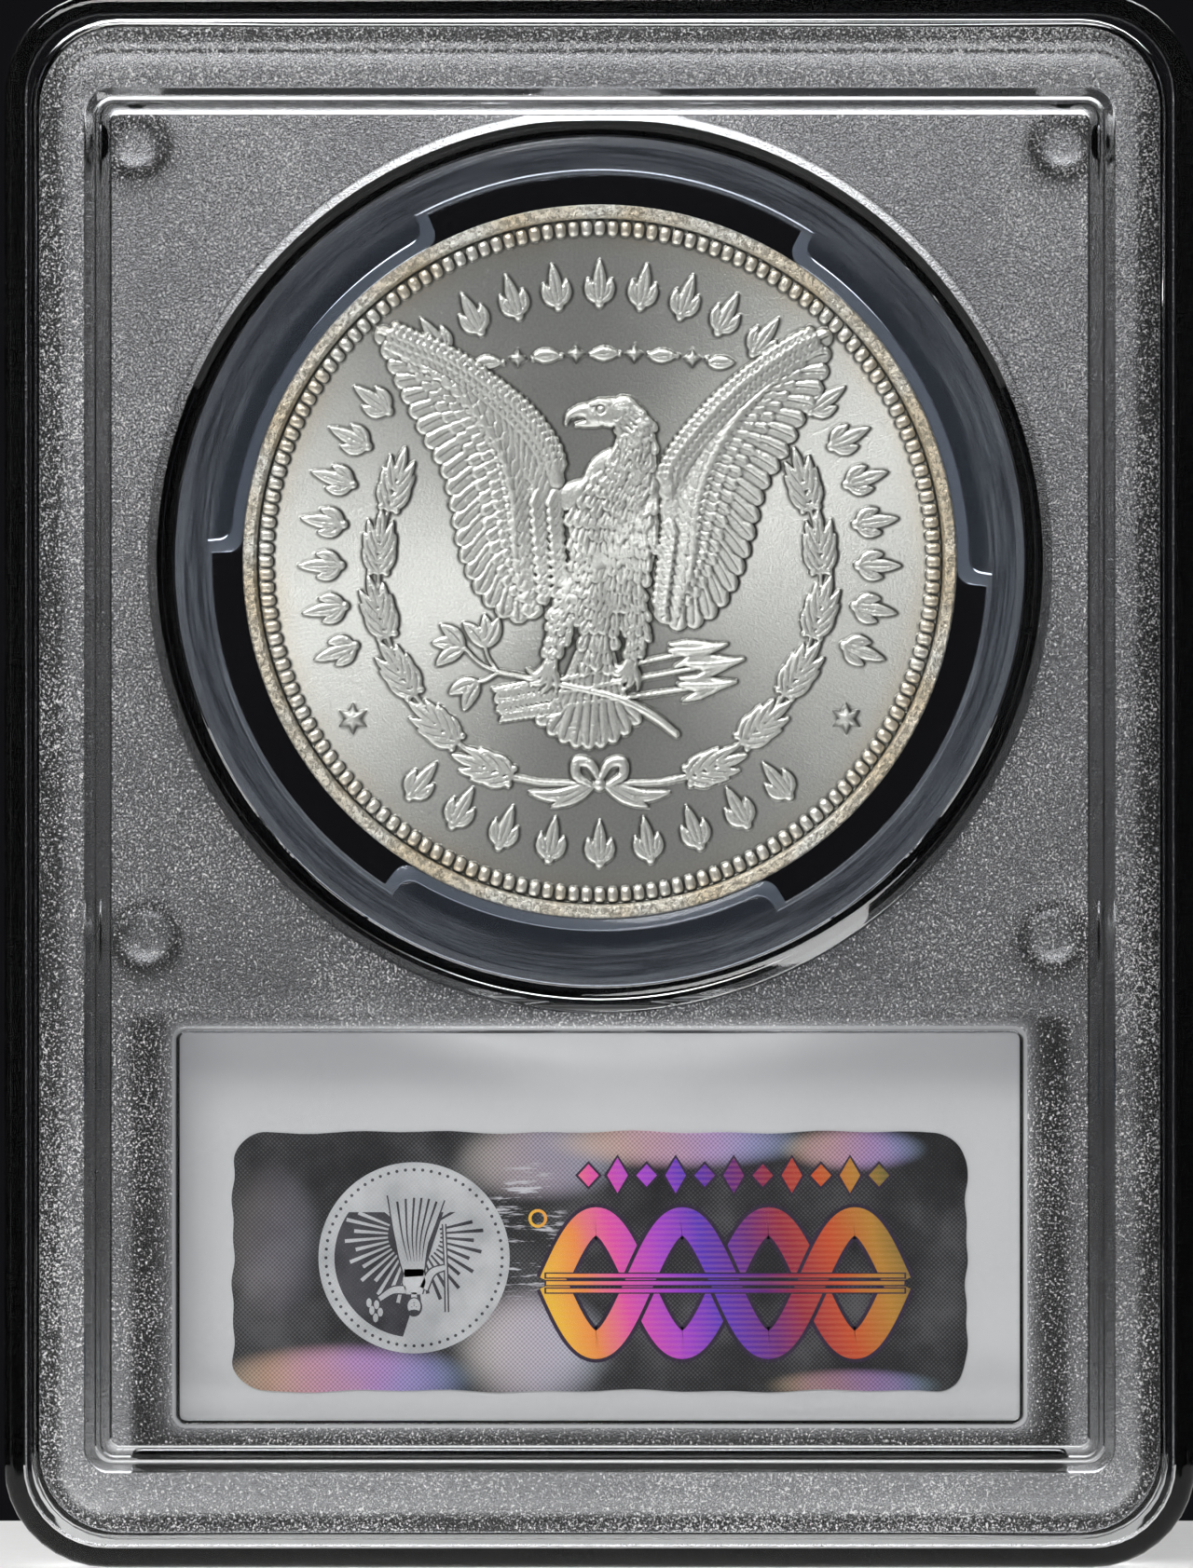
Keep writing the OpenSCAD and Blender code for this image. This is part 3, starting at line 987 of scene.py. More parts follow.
def eagle_side(step):
    """The side that shows from the rear: an eagle over a wreath, in a ring of buds and two stars."""
    face = Relief(step)
    wreath(face)
    bud_ring(face, gaps=(134, 45))
    for side in (-1, 1):
        face.star(polar(15.6, 270 + side * 57.5), 0.98, 0.16)
    for k in range(-4, 5):
        at = (k * 1.55 + 0.3, 11.1 - 0.03 * k * k)
        if k % 2:
            face.star(at, 0.62, 0.13, 4)
        else:
            face.blade([(at[0] - 0.75, at[1]), (at[0] + 0.75, at[1])], 0.36, 0.13, 0.02, "leaf", rib=0.04)
        if k < 4:
            face.bead((at[0] + 0.78, at[1] - 0.02), 0.14, 0.1)
    eagle(face)
    claws_and_what_they_hold(face)
    rim_and_beads(face)
    marks(face, 7, 160)
    face.soften(1)
    return face


def star_side(step):
    """The side that shows from the front: a rayed star over the same wreath."""
    face = Relief(step)
    wreath(face)
    bud_ring(face)
    for k in range(48):
        a = 7.5 * k
        face.limb([polar(4.5, a), polar(8.8 if k % 2 else 7.6, a)], [0.2, 0.05], 0.1)
    face.star((0, 0), 5.6, 0.26, 5)
    face.ring(9.4, 9.8, 0.12)
    rim_and_beads(face)
    marks(face, 11, 120)
    face.soften(1)
    return face


# ---- Coin mesh -----------------------------------------------------------------------------------


def disc_rings(step):
    """(radius, points round it) for rings that keep about the same spacing from rim to middle."""
    around = REEDS * 10
    rings = [(COIN_R - 0.1, around)]
    for low, high, share in [(11.0, COIN_R - 0.12, 1), (5.5, 11.0, 2), (2.7, 5.5, 4), (0.4, 2.7, 8)]:
        n = max(2, round((high - low) / step))
        rings += [(high - (high - low) * k / n, around // share) for k in range(n)]
    return rings


def disc_half(face, step, start, turn):
    """Vertices and faces for one side of the coin. turn is 1 for the rear, -1 for the front."""
    verts, faces, rings, hollows = [], [], [], []
    hollow = face.hollow()
    for r, n in disc_rings(step):
        a = np.arange(n) * 2 * math.pi / n
        x, y = r * np.cos(a), r * np.sin(a)
        depth = turn * (COIN_HALF_T - RIM_RISE + face.at(face.h, x, y))
        hollows += list(face.at(hollow, x, y))
        rings.append(start + len(verts) + np.arange(n))
        verts += list(zip(turn * x, y, depth))
    for outer, inner in zip(rings, rings[1:]):
        out_next, in_next = np.roll(outer, -1), np.roll(inner, -1)
        if len(outer) == len(inner):
            faces += list(zip(outer, out_next, in_next, inner))
        else:
            a, b, c = outer[::2], outer[1::2], np.roll(outer[::2], -1)
            faces += list(zip(a, b, inner)) + list(zip(b, in_next, inner)) + list(zip(b, c, in_next))
    faces.append(tuple(rings[-1]))
    return verts, faces, rings[0], hollows


def coin(material):
    step = 0.08
    rear_verts, rear_faces, rear_edge, rear_hollows = disc_half(eagle_side(0.05), step, 0, 1)
    front_verts, front_faces, front_edge, front_hollows = disc_half(
        star_side(0.07), step * 2.5, len(rear_verts), -1
    )
    verts, faces = rear_verts + front_verts, rear_faces + front_faces
    n = len(rear_edge)
    a = np.arange(n) * 2 * math.pi / n
    reed = COIN_R - 0.1 * (0.5 + 0.5 * np.cos(a * REEDS)) ** 2
    edge = COIN_HALF_T
    # (depth, share of the reeding) down the edge from rear to front
    previous = rear_edge
    down = [(edge - 0.03, -1), (edge - 0.12, 0), (edge - 0.25, 1)]
    for depth, share in down + [(-depth, share) for depth, share in reversed(down)]:
        radius = (COIN_R - 0.05) * np.ones(n) if share < 0 else COIN_R + (reed - COIN_R) * share
        ring = len(verts) + np.arange(n)
        verts += list(zip(radius * np.cos(a), radius * np.sin(a), np.full(n, depth)))
        faces += list(zip(np.roll(previous, -1), previous, ring, np.roll(ring, -1)))
        previous = ring
    mirrored = np.roll(front_edge[::-1], n // 2 + 1)
    faces += list(zip(np.roll(previous, -1), previous, mirrored, np.roll(mirrored, -1)))
    mesh = bpy.data.meshes.new("coin_struck_silver")
    places = [place(x, COIN_UP + y, d) for x, y, d in verts]
    mesh.from_pydata(places, [], [tuple(int(i) for i in f) for f in faces])
    bm = bmesh.new()
    bm.from_mesh(mesh)
    bmesh.ops.recalc_face_normals(bm, faces=bm.faces)
    bm.to_mesh(mesh)
    bm.free()
    hollows = np.zeros(len(verts))
    hollows[: len(rear_verts) + len(front_verts)] = rear_hollows + front_hollows
    # how far each point lies below its surroundings, which the silver material turns into painted shade in
    # the creases
    mesh.attributes.new("hollow", "FLOAT", "POINT").data.foreach_set("value", hollows)
    obj = make_object("coin_struck_silver", mesh, [material], 60)
    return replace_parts(obj, "coin")


def from_coin_centre(m):
    """Where a point is: its y, its distance from the coin's axis, and its angle round it."""
    x, y, z = m.xyz()
    up = m.minus(z, COIN_UP * MM)
    r = m.math("SQRT", m.plus(m.times(x, x), m.times(up, up)))
    return y, r, m.math("ARCTAN2", up, x)


def silver():
    """Mint-fresh silver: a field with radial flow lines, frosty relief with painted shade in its creases and
    round its foot, and a golden, worn rim.
    """
    m = Nodes("struck_silver")
    y, r, angle = from_coin_centre(m)
    around = m.times(angle, 0.02)
    outwards = m.times(r, 0.12)
    polar_place = m.node("CombineXYZ", {0: around, 1: outwards, 2: y})
    flow = m.noise(0.10, 3.0, 0.6, vector=polar_place)
    grain = m.noise(0.13, 2.0, 0.6)
    pits = m.noise(0.22, 3.0, 0.7)
    cloud = m.noise(3.5, 3.0)
    toned = m.span(r, 0.0158, 0.0190, 0.0, 1.0, smooth=True)
    patch = m.times(toned, m.span(cloud, 0.38, 0.62, 0.15, 0.8))
    base = m.ramp(grain, [(0.3, (0.72, 0.725, 0.685)), (0.7, (0.88, 0.885, 0.84))])
    rise = m.minus(m.math("ABSOLUTE", y), (COIN_HALF_T - RIM_RISE) * MM)
    colour = m.blend(patch, base, (0.70, 0.57, 0.38))
    on_rim = m.span(r, 0.0182, 0.0185)
    grime = m.times(on_rim, m.span(pits, 0.42, 0.56, 0.75, 0.0))
    colour = m.blend(grime, colour, (0.22, 0.20, 0.16))
    creases = m.tree.nodes.new("ShaderNodeNewGeometry").outputs["Pointiness"]
    # painted shade in the creases and round the foot of the relief, by height in tenths of a millimetre
    foot_shade_stops = [(0.0, 1.0), (0.10, 1.0), (0.18, 0.12), (0.55, 0.25), (0.95, 1.0)]
    foot = m.ramp(m.over(rise, 0.1 * MM), [(at, (v, v, v)) for at, v in foot_shade_stops])
    unshaded = m.times(m.span(creases, 0.44, 0.495, 0.2, 1.0), foot)
    # the hollow attribute deepens the painted shade in the creases
    hollow = m.node("Attribute", out=2, attribute_name="hollow")
    unshaded = m.times(unshaded, m.span(hollow, 0.1, 1.0, 1.0, 0.25))
    colour = m.blend(unshaded, (0.10, 0.10, 0.09), colour)
    hair_place = m.stretched(0.7, (6.0, 1.0, 0.35))
    hairline = m.noise(0.9, 4.0, 0.7, vector=hair_place)
    height = m.plus(m.times(flow, 0.5), m.times(grain, 1.0))
    height = m.minus(height, m.span(hairline, 0.70, 0.78, 0.0, 0.5))
    height = m.plus(height, m.times(m.times(on_rim, pits), 5.0))
    field = m.principled(
        base_color=colour, metallic=1.0, roughness=0.43, anisotropic=0.7,
        tangent=m.node("Tangent", direction_type="RADIAL", axis="Y"),
        normal=m.bump(height, 0.8, 0.025),
    )
    frosty = m.principled(
        base_color=colour, metallic=1.0, roughness=0.43, normal=m.bump(height, 0.9, 0.035),
    )
    return m.surface(m.node("MixShader", {0: m.span(rise, 0.00003, 0.00009), 1: field, 2: frosty}))


# ---- Coin gasket ---------------------------------------------------------------------------------

PAD_MIDDLE = 27.5
PAD_SPREAD = 31


def gasket_bore(border):
    """The gasket's inner outline: a round bore with three pads that reach in to the coin."""
    bore_r, pad_r, corner_r = GASKET_R - 2.0, COIN_R + 0.03, 0.8
    points = []
    for k in range(3):
        middle = PAD_MIDDLE + 120 * k
        pad_half = math.degrees((math.radians(PAD_SPREAD) * 20 - border) / 20)
        ends = [(-1, np.linspace(0, 1, 7)), (1, np.linspace(1, 0, 7))]
        for side, shares in ends:
            for share in shares:
                turn = math.pi / 2 * share
                out = pad_r + border + corner_r * (1 - math.sin(turn))
                back = math.degrees(corner_r * (1 - math.cos(turn)) / 19.5)
                side_points = (out, middle + side * (pad_half - back))
                points.append(side_points)
            if side < 0:
                tip = pad_half - 2.6
                points += [(pad_r + border, a) for a in np.linspace(middle - tip, middle + tip, 36)]
        # the side of the pad, then the bore up to the next pad
        wall = bore_r + 0.35 * border
        points.append((wall, middle + pad_half + 0.15))
        points += [(wall, a) for a in np.linspace(middle + pad_half + 1.2, middle + 120 - pad_half - 1.2, 34)]
        points.append((wall, middle + 120 - pad_half - 0.15))
    return [tuple(np.add((0.0, COIN_UP), polar(r, a))) for r, a in points]


def coin_gasket(materials):
    solid = Solid()
    n = len(gasket_bore(0.0))
    top = GASKET_HALF_T
    start = PAD_MIDDLE - PAD_SPREAD
    outer_angles = np.radians(start + np.arange(n) * 360 / n)

    def outer(r):
        return [(r * math.cos(a), COIN_UP + r * math.sin(a)) for a in outer_angles]

    first = solid.loop(gasket_bore(0.0), 0.2 - top)
    last = solid.loft(
        first,
        [
            (gasket_bore(0.0), top - 0.32, 0),
            (gasket_bore(0.06), top - 0.26, 1),
            (gasket_bore(0.5), top - 0.24, 1),
            (gasket_bore(0.58), top - 0.2, 1),
            (gasket_bore(0.62), top - 0.06, 0),
            (gasket_bore(0.7), top, 0),
        ],
    )
    crown = solid.loop(outer(GASKET_R - 0.5), top)
    edge = [(0.1, top - 0.03), (0.0, top - 0.13), (0.0, 0.13 - top), (0.13, -top)]
    side = solid.loft(crown, [(outer(GASKET_R - inset), depth, 1) for inset, depth in edge])
    solid.fill(crown, [last], 0)
    last_front = solid.loop(gasket_bore(0.2), -top)
    solid.band(first, last_front, 0)
    solid.fill(side, [last_front], 0)
    obj = solid.finish("coin_gasket_ring", materials, smooth_angle=45)
    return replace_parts(obj, "coin_gasket")


def soft_plastic(name, milkiness, light):
    """Clear plastic with a little milk in it, and fine rings where it is a plain ring."""
    m = Nodes(name)
    _, r, angle = from_coin_centre(m)
    ring_place = m.node("CombineXYZ", {0: r, 1: m.times(angle, 0.0006)})
    streaks = m.noise(0.16, 3.0, 0.7, vector=ring_place)
    on_ring = m.span(r, 0.0204, 0.0208)
    haze = m.plus(milkiness, m.times(on_ring, m.span(streaks, 0.42, 0.72, 0.0, 0.22)))
    glass = m.principled(
        base_color=(0.74, 0.80, 0.90), transmission_weight=1.0, ior=1.45, roughness=0.08,
        normal=m.bump(m.noise(1.1), 0.3, 0.03),
    )
    # light above 1 lightens the pads' milk colour: a painted highlight along their borders
    pad_colour = tuple(light * c for c in (0.16, 0.19, 0.24))
    colour = m.blend(on_ring, pad_colour, (0.24, 0.26, 0.29))
    milk = m.principled(base_color=colour, roughness=0.35)
    return m.surface(clear_to_lamps(m, m.node("MixShader", {0: haze, 1: glass, 2: milk}), (0.8, 0.84, 0.9)))


# ---- Label card and hologram sticker -------------------------------------------------------------


def bar_loop(x, up, w, h, origin=LABEL_UP):
    """A plain rectangle with its middle at (x, up) from origin, counter-clockwise."""
    corners = [(-1, -1), (1, -1), (1, 1), (-1, 1)]
    return [(x + sx * w / 2, origin + up + sy * h / 2) for sx, sy in corners]


def label_card(materials):
    """A plain card with printed bars and a bar code on the side that faces the front."""
    solid = Solid()
    low, high = card_low[2], card_high[2]

    def edge_loop(inset):
        return rect_loop(CARD_W - 2 * inset, CARD_H - 2 * inset, 0.5, (0.0, LABEL_UP))

    front = solid.loop(edge_loop(0.0), low)
    rear = solid.loft(front, [(edge_loop(0.0), high - 0.03, 0), (edge_loop(0.03), high, 0)])
    solid.fill(rear, [], 0)
    prints = [(bar_loop(0, 8.1, CARD_W - 3, 3.6), 1)]
    prints += [(bar_loop(-9.6, 3.4 - 2.6 * k, 22.0 - 4.5 * k, 1.1), 2) for k in range(3)]
    rng = np.random.default_rng(3)
    x = 6.0
    while x < 20.5:
        w = rng.choice([0.25, 0.4, 0.7])
        prints.append((bar_loop(x + w / 2, -4.6, w, 7.6), 2))
        x += w + rng.choice([0.3, 0.5])
    prints.append((bar_loop(-15.5, -7.2, 9.0, 2.6), 1))
    holes = []
    for loop, finish in prints:
        ring = solid.loop(loop, low)
        solid.fill(ring, [], finish)
        holes.append(ring)
    solid.fill(front, holes, 0)
    obj = solid.finish("printed_label_card", materials, smooth_angle=30)
    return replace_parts(obj, "label_card")


def printed(name, light, dark, fibre=0.35, shaded=False):
    """Card or ink with fine fibres. shaded paints shade on what lies close to and under the window's frame.
    """
    m = Nodes(name)
    fibres = m.noise(fibre, 4.0, 0.65)
    cloud = m.noise(7.0, 2.0)
    tone = m.blend(m.span(cloud, 0.3, 0.7), m.ramp(fibres, [(0.3, dark), (0.7, light)]), light)
    if shaded:
        # painted shade: the card darkens towards the window's edge and is nearly black under its frame
        x, _, z = m.xyz()
        beyond_side = m.minus(m.math("ABSOLUTE", x), LABEL_WINDOW[0] / 2 * MM)
        up = m.math("ABSOLUTE", m.minus(z, LABEL_UP * MM))
        beyond_end = m.minus(up, LABEL_WINDOW[1] / 2 * MM)
        beyond = m.span(m.math("MAXIMUM", beyond_side, beyond_end), -0.5 * MM, 0.3 * MM)
        stops = [(0.0, 1.0), (0.55, 0.85), (0.8, 0.4), (0.95, 0.10), (1.0, 0.04)]
        tone = m.blend(1.0, tone, m.ramp(beyond, [(at, (v, v, v)) for at, v in stops]), "MULTIPLY")
    normal = m.bump(fibres, 0.2, 0.01)
    return m.surface(m.principled(base_color=tone, roughness=0.62, normal=normal))


FOIL, MOON, SHADE, INK, GLOW = 0, 1, 2, 3, 4
WAVE = 0.1
WEAVE = 0.24


def prism(solid, loop, low, high, finish, holes=()):
    """A flat raised shape with a closed foot."""
    foot = solid.loop(loop, low)
    top = solid.loop(loop, high)
    solid.band(foot, top, finish)
    foot_holes, top_holes = [], []
    for hole in holes:
        foot_holes.append(solid.loop(hole, low))
        top_holes.append(solid.loop(hole, high))
        solid.band(top_holes[-1], foot_holes[-1], finish)
    solid.fill(top, top_holes, finish)
    solid.fill(foot, foot_holes, finish)


def oval_loop(x, up, half_w, half_h, square=2.0, n=72):
    """An oval; square above 2 makes it boxier."""
    points = []
    for a in np.arange(n) * 2 * math.pi / n:
        c, s = math.cos(a), math.sin(a)
        reach = (abs(c) ** square + abs(s) ** square) ** (-1 / square)
        points.append((x + half_w * reach * c, STICKER_UP + up + half_h * reach * s))
    return points


def ribbon(solid, points, widths, low, high, finish):
    """A flat raised stroke along a path, whose half width runs through widths."""
    path = curve([(x, STICKER_UP + up) for x, up in points], 24)
    ahead = np.gradient(path, axis=0)
    ahead /= np.maximum(np.hypot(*ahead.T), 1e-9)[:, None]
    side = np.stack([-ahead[:, 1], ahead[:, 0]], 1)
    w = np.interp(np.linspace(0, 1, len(path)), np.linspace(0, 1, len(widths)), widths)[:, None]
    rings = []
    for right, left in zip(path - side * w, path + side * w):
        corners = [(right, low), (right, high), (left, high), (left, low)]
        rings.append([solid.bm.verts.new(place(*at, depth)) for at, depth in corners])
    for a, b in zip(rings, rings[1:]):
        solid.band(a, b, finish)
    for end in (rings[0], rings[-1]):
        solid.bm.faces.new(end).material_index = finish


def wavy_edge(inset):
    """The sticker's outline, with the slight waves of a hand-laid foil."""
    w = STICKER_W - 0.3 - 2 * inset
    h = STICKER_H - 0.3 - 2 * inset
    waved = []
    for x, up in rect_loop(w, h, 1.75, (0.0, STICKER_UP), corner=12, side=40):
        aside = WAVE * math.sin(up * 2.1 + 1.3) * math.sin(up * 0.7)
        upwards = WAVE * math.sin(x * 0.9) * math.sin(x * 0.37 + 0.8)
        waved.append((x + aside, up + upwards))
    return waved


def twisted_ribbons(solid, base):
    """Two broad ribbons that twist round a triple bar, each over the other by turns."""
    middle, reach, turns = 6.7, 9.2, 4
    for k in range(turns):
        start = middle - reach + 2 * reach * k / turns
        for side in (1, -1):
            over = 0.006 if (k % 2) == (side > 0) else 0.0
            share = np.linspace(0.0, 1.0, 13)
            path = [
                (start + 2 * reach / turns * t, -1.15 + side * 3.3 * math.sin(math.pi * t))
                for t in share
            ]
            ribbon(solid, path, [0.95, 0.95], base - 0.01, base + 0.005 + over, INK)
            ribbon(solid, path, [0.75, 0.75], base - 0.01, base + 0.008 + over, GLOW)
    for up in (-1.55, -1.15, -0.75):
        for over, tall, rise, finish in [(0.9, 0.34, 0.017, INK), (0.7, 0.2, 0.02, GLOW)]:
            bar = bar_loop(middle, up, 2 * reach + over, tall, STICKER_UP)
            prism(solid, bar, base - 0.01, base + rise, finish)


def lozenge_row(solid, base):
    for k in range(11):
        x, up = -0.6 + 1.55 * k, 4.6
        tall = 0.95 if k % 2 else 0.6
        for grow, finish, rise in ((0.17, INK, 0.006), (0.0, GLOW, 0.01)):
            corners = [(-0.55 - grow, 0), (0, -tall - grow), (0.55 + grow, 0), (0, tall + grow)]
            shape = [(x + dx, STICKER_UP + up + dy) for dx, dy in corners]
            prism(solid, shape, base - 0.01, base + rise, finish)


def medallion(solid, base):
    """A round vignette, head down like the whole label: a robed figure with a sprig before a sun."""
    x, up = -9.9, 0.2

    def shape(loop, rise, finish):
        prism(solid, loop, base - 0.01, base + rise, finish)

    def stroke(points, widths, rise, finish, head_down=True):
        if head_down:
            points = [(x - px, up - py) for px, py in points]
        ribbon(solid, points, widths, base - 0.01, base + rise, finish)

    def segment(start, end, n):
        turns = np.radians(np.linspace(start, end, n))
        return [(x + 4.25 * math.cos(a), STICKER_UP + up + 4.25 * math.sin(a)) for a in turns]

    shape(oval_loop(x, up, 5.1, 5.1, n=120), 0.004, MOON)
    shape(segment(62, 262, 60), 0.007, SHADE)
    for k in range(64):
        a = math.radians(360 / 64 * k)
        shape(oval_loop(x + 4.7 * math.cos(a), up + 4.7 * math.sin(a), 0.09, 0.09, n=8), 0.007, SHADE)
    for k in range(30):
        a = math.radians(-40 + 260 / 29 * k)
        ends = [(x - r * math.cos(a), up + 1.2 - r * math.sin(a)) for r in (1.4, 3.7 if k % 2 else 3.2)]
        dark_side = ends[1][0] < x - 0.3
        if math.hypot(ends[1][0] - x, ends[1][1] - up) < 4.2:
            stroke(ends, [0.05, 0.1], 0.010, MOON if dark_side else SHADE, head_down=False)
    shape(segment(35, 145, 40), 0.011, MOON)
    figure = [
        ([(0.0, 1.0), (0.1, -0.8), (-0.1, -3.2)], [0.5, 0.85, 1.5]),
        ([(0.0, 0.6), (0.0, 1.3), (0.0, 1.95)], [0.5, 0.62, 0.42]),
        ([(0.45, 1.7), (1.15, 1.75), (1.85, 2.2)], [0.2, 0.17, 0.12]),
        ([(-0.5, 1.65), (-0.95, 0.8), (-1.65, 0.5)], [0.22, 0.18, 0.12]),
        ([(0.0, 1.85), (0.0, 2.3)], [0.15, 0.15]),
        ([(-1.6, -1.8), (-1.7, 0.6), (-1.75, 2.9)], [0.05, 0.05, 0.05]),
    ]
    for points, widths in figure:
        stroke(points, [w + 0.08 for w in widths], 0.013, SHADE)
    for points, widths in figure:
        stroke(points, widths, 0.017, MOON)
    shape(oval_loop(x, up - 2.62, 0.44, 0.52, n=32), 0.019, SHADE)
    shape(oval_loop(x, up - 2.58, 0.34, 0.42, n=32), 0.022, MOON)
    for foot in [(-1.2, -3.0), (-0.8, -3.15), (-0.4, -3.2), (0.0, -3.2), (0.45, -3.15), (0.9, -3.0)]:
        fold = [(foot[0] * 0.35, 0.2), (foot[0] * 0.6 + 0.1, -1.2), foot]
        stroke(fold, [0.01, 0.04, 0.06], 0.020, SHADE)
    # eyes, nose, mouth and hair
    features = [
        (0.12, 2.62, 0.04, 0.02), (-0.12, 2.62, 0.04, 0.02), (0.0, 2.53, 0.02, 0.06),
        (0.0, 2.4, 0.06, 0.018), (0.0, 2.9, 0.3, 0.14),
    ]
    for px, py, w, h in features:
        shape(oval_loop(x - px, up - py, w, h, n=12), 0.025, SHADE)
    for px, py in [(2.0, 2.5), (1.8, 2.9), (2.25, 2.8), (2.05, 3.2), (2.4, 2.4)]:
        shape(oval_loop(x - px, up - py, 0.14, 0.24, n=16), 0.014, MOON)


def hologram_sticker(materials):
    solid = Solid()
    low, high = sticker_low[2] + 0.005, sticker_high[2] - 0.03
    foot = solid.loop(wavy_edge(0.05), low)
    steps = [(0.0, low + 0.02), (0.0, high - 0.02), (0.04, high)]
    top = solid.loft(foot, [(wavy_edge(inset), depth, FOIL) for inset, depth in steps])
    solid.fill(top, [], FOIL)
    solid.fill(foot, [], FOIL)
    twisted_ribbons(solid, high)
    lozenge_row(solid, high)
    medallion(solid, high)
    spot = [oval_loop(-3.3, 2.3, r, r, n=32) for r in (0.5, 0.34)]
    prism(solid, spot[0], high - 0.01, high + 0.008, GLOW, [spot[1]])
    obj = solid.finish("hologram_foil_sticker", materials, smooth_angle=30)
    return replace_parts(obj, "hologram_sticker")


def foil_parts(m):
    """Where a point is along the sticker in millimetres, and the foil's fine weave."""
    x, _, z = m.xyz()
    across = m.over(x, MM)
    up = m.over(m.minus(z, STICKER_UP * MM), MM)
    rows = m.math("SINE", m.times(up, 2 * math.pi / WEAVE))
    columns = m.math("SINE", m.times(across, 2 * math.pi / WEAVE))
    weave = m.times(rows, columns)
    return across, up, weave


def nearness(m, across, up, middle, half):
    """1 in the middle of an oval patch, 0 at its edge."""
    dx = m.over(m.minus(across, middle[0]), half[0])
    dy = m.over(m.minus(up, middle[1]), half[1])
    squares = m.plus(m.times(dx, dx), m.times(dy, dy))
    return m.minus(1.0, squares)


RAINBOW = [
    (0.0, (0.85, 0.62, 0.10)), (0.2, (0.95, 0.38, 0.12)), (0.4, (0.90, 0.22, 0.45)),
    (0.6, (0.62, 0.12, 0.85)), (0.8, (0.22, 0.20, 0.95)), (1.0, (0.15, 0.75, 0.85)),
]


def hologram_foil():
    """Grey diffraction foil: a fine weave with painted silver and rainbow reflections in patches."""
    m = Nodes("hologram_foil")
    across, up, weave = foil_parts(m)
    cloud = m.noise(5.0, 3.0, 0.6)
    grey = m.ramp(
        m.plus(m.times(weave, 0.16), cloud),
        [(0.3, (0.016, 0.016, 0.017)), (0.5, (0.035, 0.035, 0.037)), (0.7, (0.11, 0.11, 0.115))],
    )
    # painted reflections: each patch fixes in place the silver or rainbow light that the foil diffracts
    # (middle across, middle up, half width, half height, colourfulness, strength)
    patches = [
        (-13.5, -6.2, 7.5, 2.0, 0.5, 0.95), (-3.6, -4.6, 4.6, 3.6, 0.1, 1.0),
        (-3.2, 5.4, 5.0, 2.4, 0.15, 0.7), (4.2, 6.3, 7.5, 1.5, 0.4, 0.9),
        (13.5, 6.0, 4.2, 1.3, 0.45, 0.8), (13.5, -6.6, 5.0, 1.0, 0.5, 0.6),
        (-17.5, 1.0, 3.0, 5.0, 0.1, 0.2),
    ]
    colour = grey
    wobble = m.times(m.noise(3.0, 2.0), 3.0)
    for middle_x, middle_up, half_w, half_h, colourful, strength in patches:
        along = m.span(m.plus(across, wobble), middle_x - half_w + 1.5, middle_x + half_w + 1.5)
        hue = m.blend(colourful, (0.6, 0.61, 0.63), m.ramp(along, RAINBOW))
        near = nearness(m, across, up, (middle_x, middle_up), (half_w, half_h))
        thread = m.span(weave, -0.6, 0.6, 0.55 * strength, strength)
        colour = m.blend(m.times(m.span(near, 0.0, 0.9, smooth=True), thread), colour, hue)
    # pale wear scratches in one patch: the scratches are wear, their paleness a painted glint
    scratch_place = m.stretched(0.45, (0.25, 1.0, 2.2))
    scratch_glint = m.noise(0.6, 4.0, 0.7, vector=scratch_place)
    worn = nearness(m, across, up, (-3.9, 1.6), (2.3, 4.2))
    share = m.times(m.span(worn, 0.0, 0.5), m.span(scratch_glint, 0.55, 0.62))
    colour = m.blend(share, colour, (0.62, 0.62, 0.66))
    foil = m.principled(base_color=colour, metallic=0.35, roughness=0.42, normal=m.bump(weave, 0.3, 0.01))
    return m.surface(foil)


def hologram_glow():
    """The emblem's foil, with its diffraction colours painted on as a fixed rainbow, which runs from gold
    through violet to red and olive.
    """
    m = Nodes("hologram_emblem_foil")
    across, up, _ = foil_parts(m)
    stops = [
        (0.0, (0.85, 0.50, 0.05)), (0.10, (0.85, 0.27, 0.07)), (0.20, (0.75, 0.08, 0.40)),
        (0.33, (0.38, 0.05, 0.60)), (0.45, (0.09, 0.03, 0.50)), (0.58, (0.13, 0.012, 0.20)),
        (0.68, (0.30, 0.015, 0.05)), (0.80, (0.55, 0.07, 0.02)),
        (0.92, (0.45, 0.22, 0.03)), (1.0, (0.16, 0.14, 0.03)),
    ]
    tilt = m.plus(across, m.times(up, 0.25))
    hue = m.ramp(m.span(m.plus(tilt, m.noise(2.5)), -2.6, 17.0), stops)
    fine = m.math("SINE", m.times(up, 2 * math.pi / 0.3))
    colour = m.blend(m.span(fine, -1.0, 1.0, 0.0, 0.15), hue, (0.8, 0.4, 0.2))
    foil = m.principled(base_color=colour, metallic=0.2, roughness=0.4, normal=m.bump(fine, 0.2, 0.005))
    return m.surface(foil)


def hologram_tone(name, light, dark, metallic=0.3):
    m = Nodes(name)
    _, _, weave = foil_parts(m)
    cloud = m.noise(2.0, 3.0)
    tone = m.ramp(m.plus(cloud, m.times(weave, 0.08)), [(0.3, dark), (0.7, light)])
    shader = m.principled(base_color=tone, metallic=metallic, roughness=0.4)
    return m.surface(shader)


# ---- Scene: pieces and their materials -----------------------------------------------------------

polished = polished_plastic("polished_clear_plastic", (0.975, 0.98, 0.985))
frosted = frosted_plastic("frosted_clear_plastic")
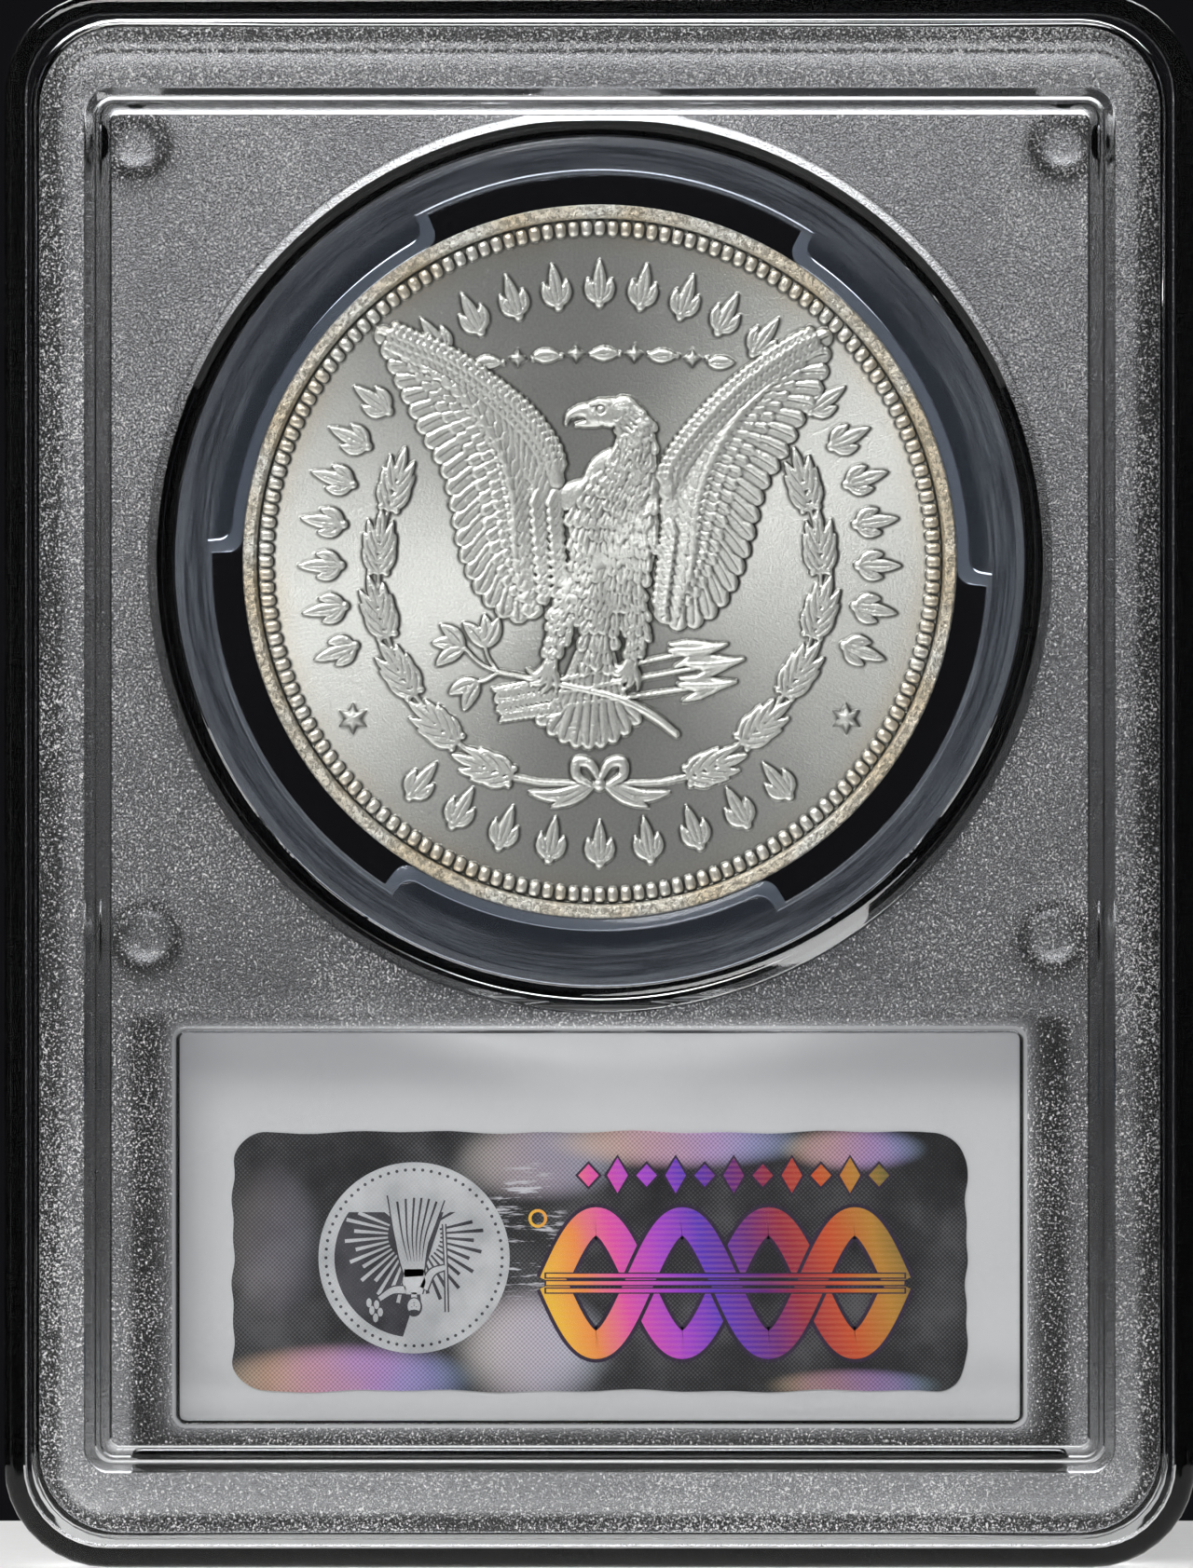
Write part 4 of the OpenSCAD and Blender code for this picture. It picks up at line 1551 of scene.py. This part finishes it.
# a copy with more pale grains for the rim band, which reads brighter: partly the rim's own texture, partly
# painted sheen
frosted_rim = frosted_plastic("frosted_plastic_rim", cover=0.3, metallic=0.65)
bead = polished_plastic("satin_clear_plastic", (0.975, 0.98, 0.985), roughness=0.11)
rear_shell([polished, frosted, frosted_rim, bead])
front_shell([polished, frosted, frosted_rim, bead])
coin(silver())
# the second, lighter and milkier copy paints a highlight along the pads' borders and the ring's outer side
coin_gasket([soft_plastic("soft_clear_plastic", 0.06, 1.0), soft_plastic("soft_plastic_border_highlight", 0.22, 1.9)])
label_card([
    printed("label_card_stock", (0.50, 0.505, 0.51), (0.46, 0.465, 0.47), shaded=True),
    printed("label_band_ink", (0.10, 0.22, 0.36), (0.07, 0.17, 0.30)),
    printed("label_dark_ink", (0.05, 0.05, 0.06), (0.03, 0.03, 0.035)),
])
hologram_sticker([
    hologram_foil(),
    hologram_tone("hologram_pale_foil", (0.60, 0.61, 0.62), (0.40, 0.41, 0.42)),
    hologram_tone("hologram_dark_foil", (0.09, 0.09, 0.10), (0.03, 0.03, 0.035)),
    hologram_tone("hologram_outline_ink", (0.035, 0.02, 0.05), (0.02, 0.015, 0.03), 0.0),
    hologram_glow(),
])


# ---- Stage, lamps and camera ---------------------------------------------------------------------

CAMERA_DISTANCE = 0.9
FRAME_HEIGHT = SLAB_H * MM * 0.9975
CAMERA_ASIDE = -0.17 * MM
CAMERA_LOW = -0.22 * MM

scene = bpy.context.scene


def floor():
    bpy.ops.mesh.primitive_plane_add(size=1.0, location=(0, -0.02, 0))
    plane = bpy.context.object
    plane.name = "studio_floor"
    plane.scale = (0.26, 0.15, 1)
    m = Nodes("pale_floor")
    tone = m.noise(6.0, 3.0)
    colour = m.ramp(tone, [(0.3, (0.74, 0.74, 0.73)), (0.7, (0.78, 0.78, 0.77))])
    shader = m.principled(base_color=colour, roughness=0.6)
    plane.data.materials.append(m.surface(shader))
    plane.visible_shadow = False


def softbox(name, at, aim, size, watts):
    lamp = bpy.data.lights.new(name, "AREA")
    lamp.shape = "RECTANGLE"
    lamp.size, lamp.size_y = size
    lamp.energy = watts
    obj = bpy.data.objects.new(name, lamp)
    obj.location = at
    obj.rotation_euler = (Vector(aim) - Vector(at)).to_track_quat("-Z", "Y").to_euler()
    scene.collection.objects.link(obj)
    return obj


floor()
MIDDLE = Vector((0, 0, SLAB_MID * MM))
softbox("top_softbox", (-0.16, -0.34, 0.44), MIDDLE, (0.34, 0.2), 1.97)
softbox("bottom_softbox", (-0.16, -0.34, -0.36), MIDDLE, (0.34, 0.14), 1.3)
softbox("left_strip", (-0.42, -0.26, MIDDLE.z), MIDDLE, (0.03, 0.4), 0.04)
softbox("back_fill", (0.0, 0.5, 0.45), MIDDLE, (0.6, 0.4), 2.8)


world = bpy.data.worlds.new("studio")
scene.world = world
world.use_nodes = True
world.node_tree.nodes["Background"].inputs["Color"].default_value = (0.006, 0.006, 0.007, 1)

camera = bpy.data.objects.new("camera", bpy.data.cameras.new("camera"))
camera.data.sensor_fit = "VERTICAL"
camera.data.sensor_height = 24
camera.data.lens = 24 * CAMERA_DISTANCE / FRAME_HEIGHT
camera.data.clip_start = 0.01
camera.location = (CAMERA_ASIDE, -CAMERA_DISTANCE, MIDDLE.z + CAMERA_LOW)
camera.rotation_euler = (math.pi / 2, 0, 0)
scene.collection.objects.link(camera)
scene.camera = camera
scene.view_settings.view_transform = "Standard"
scene.cycles.max_bounces = 12
scene.cycles.diffuse_bounces = 2
scene.cycles.glossy_bounces = 3
scene.cycles.transmission_bounces = 10
scene.cycles.transparent_max_bounces = 12
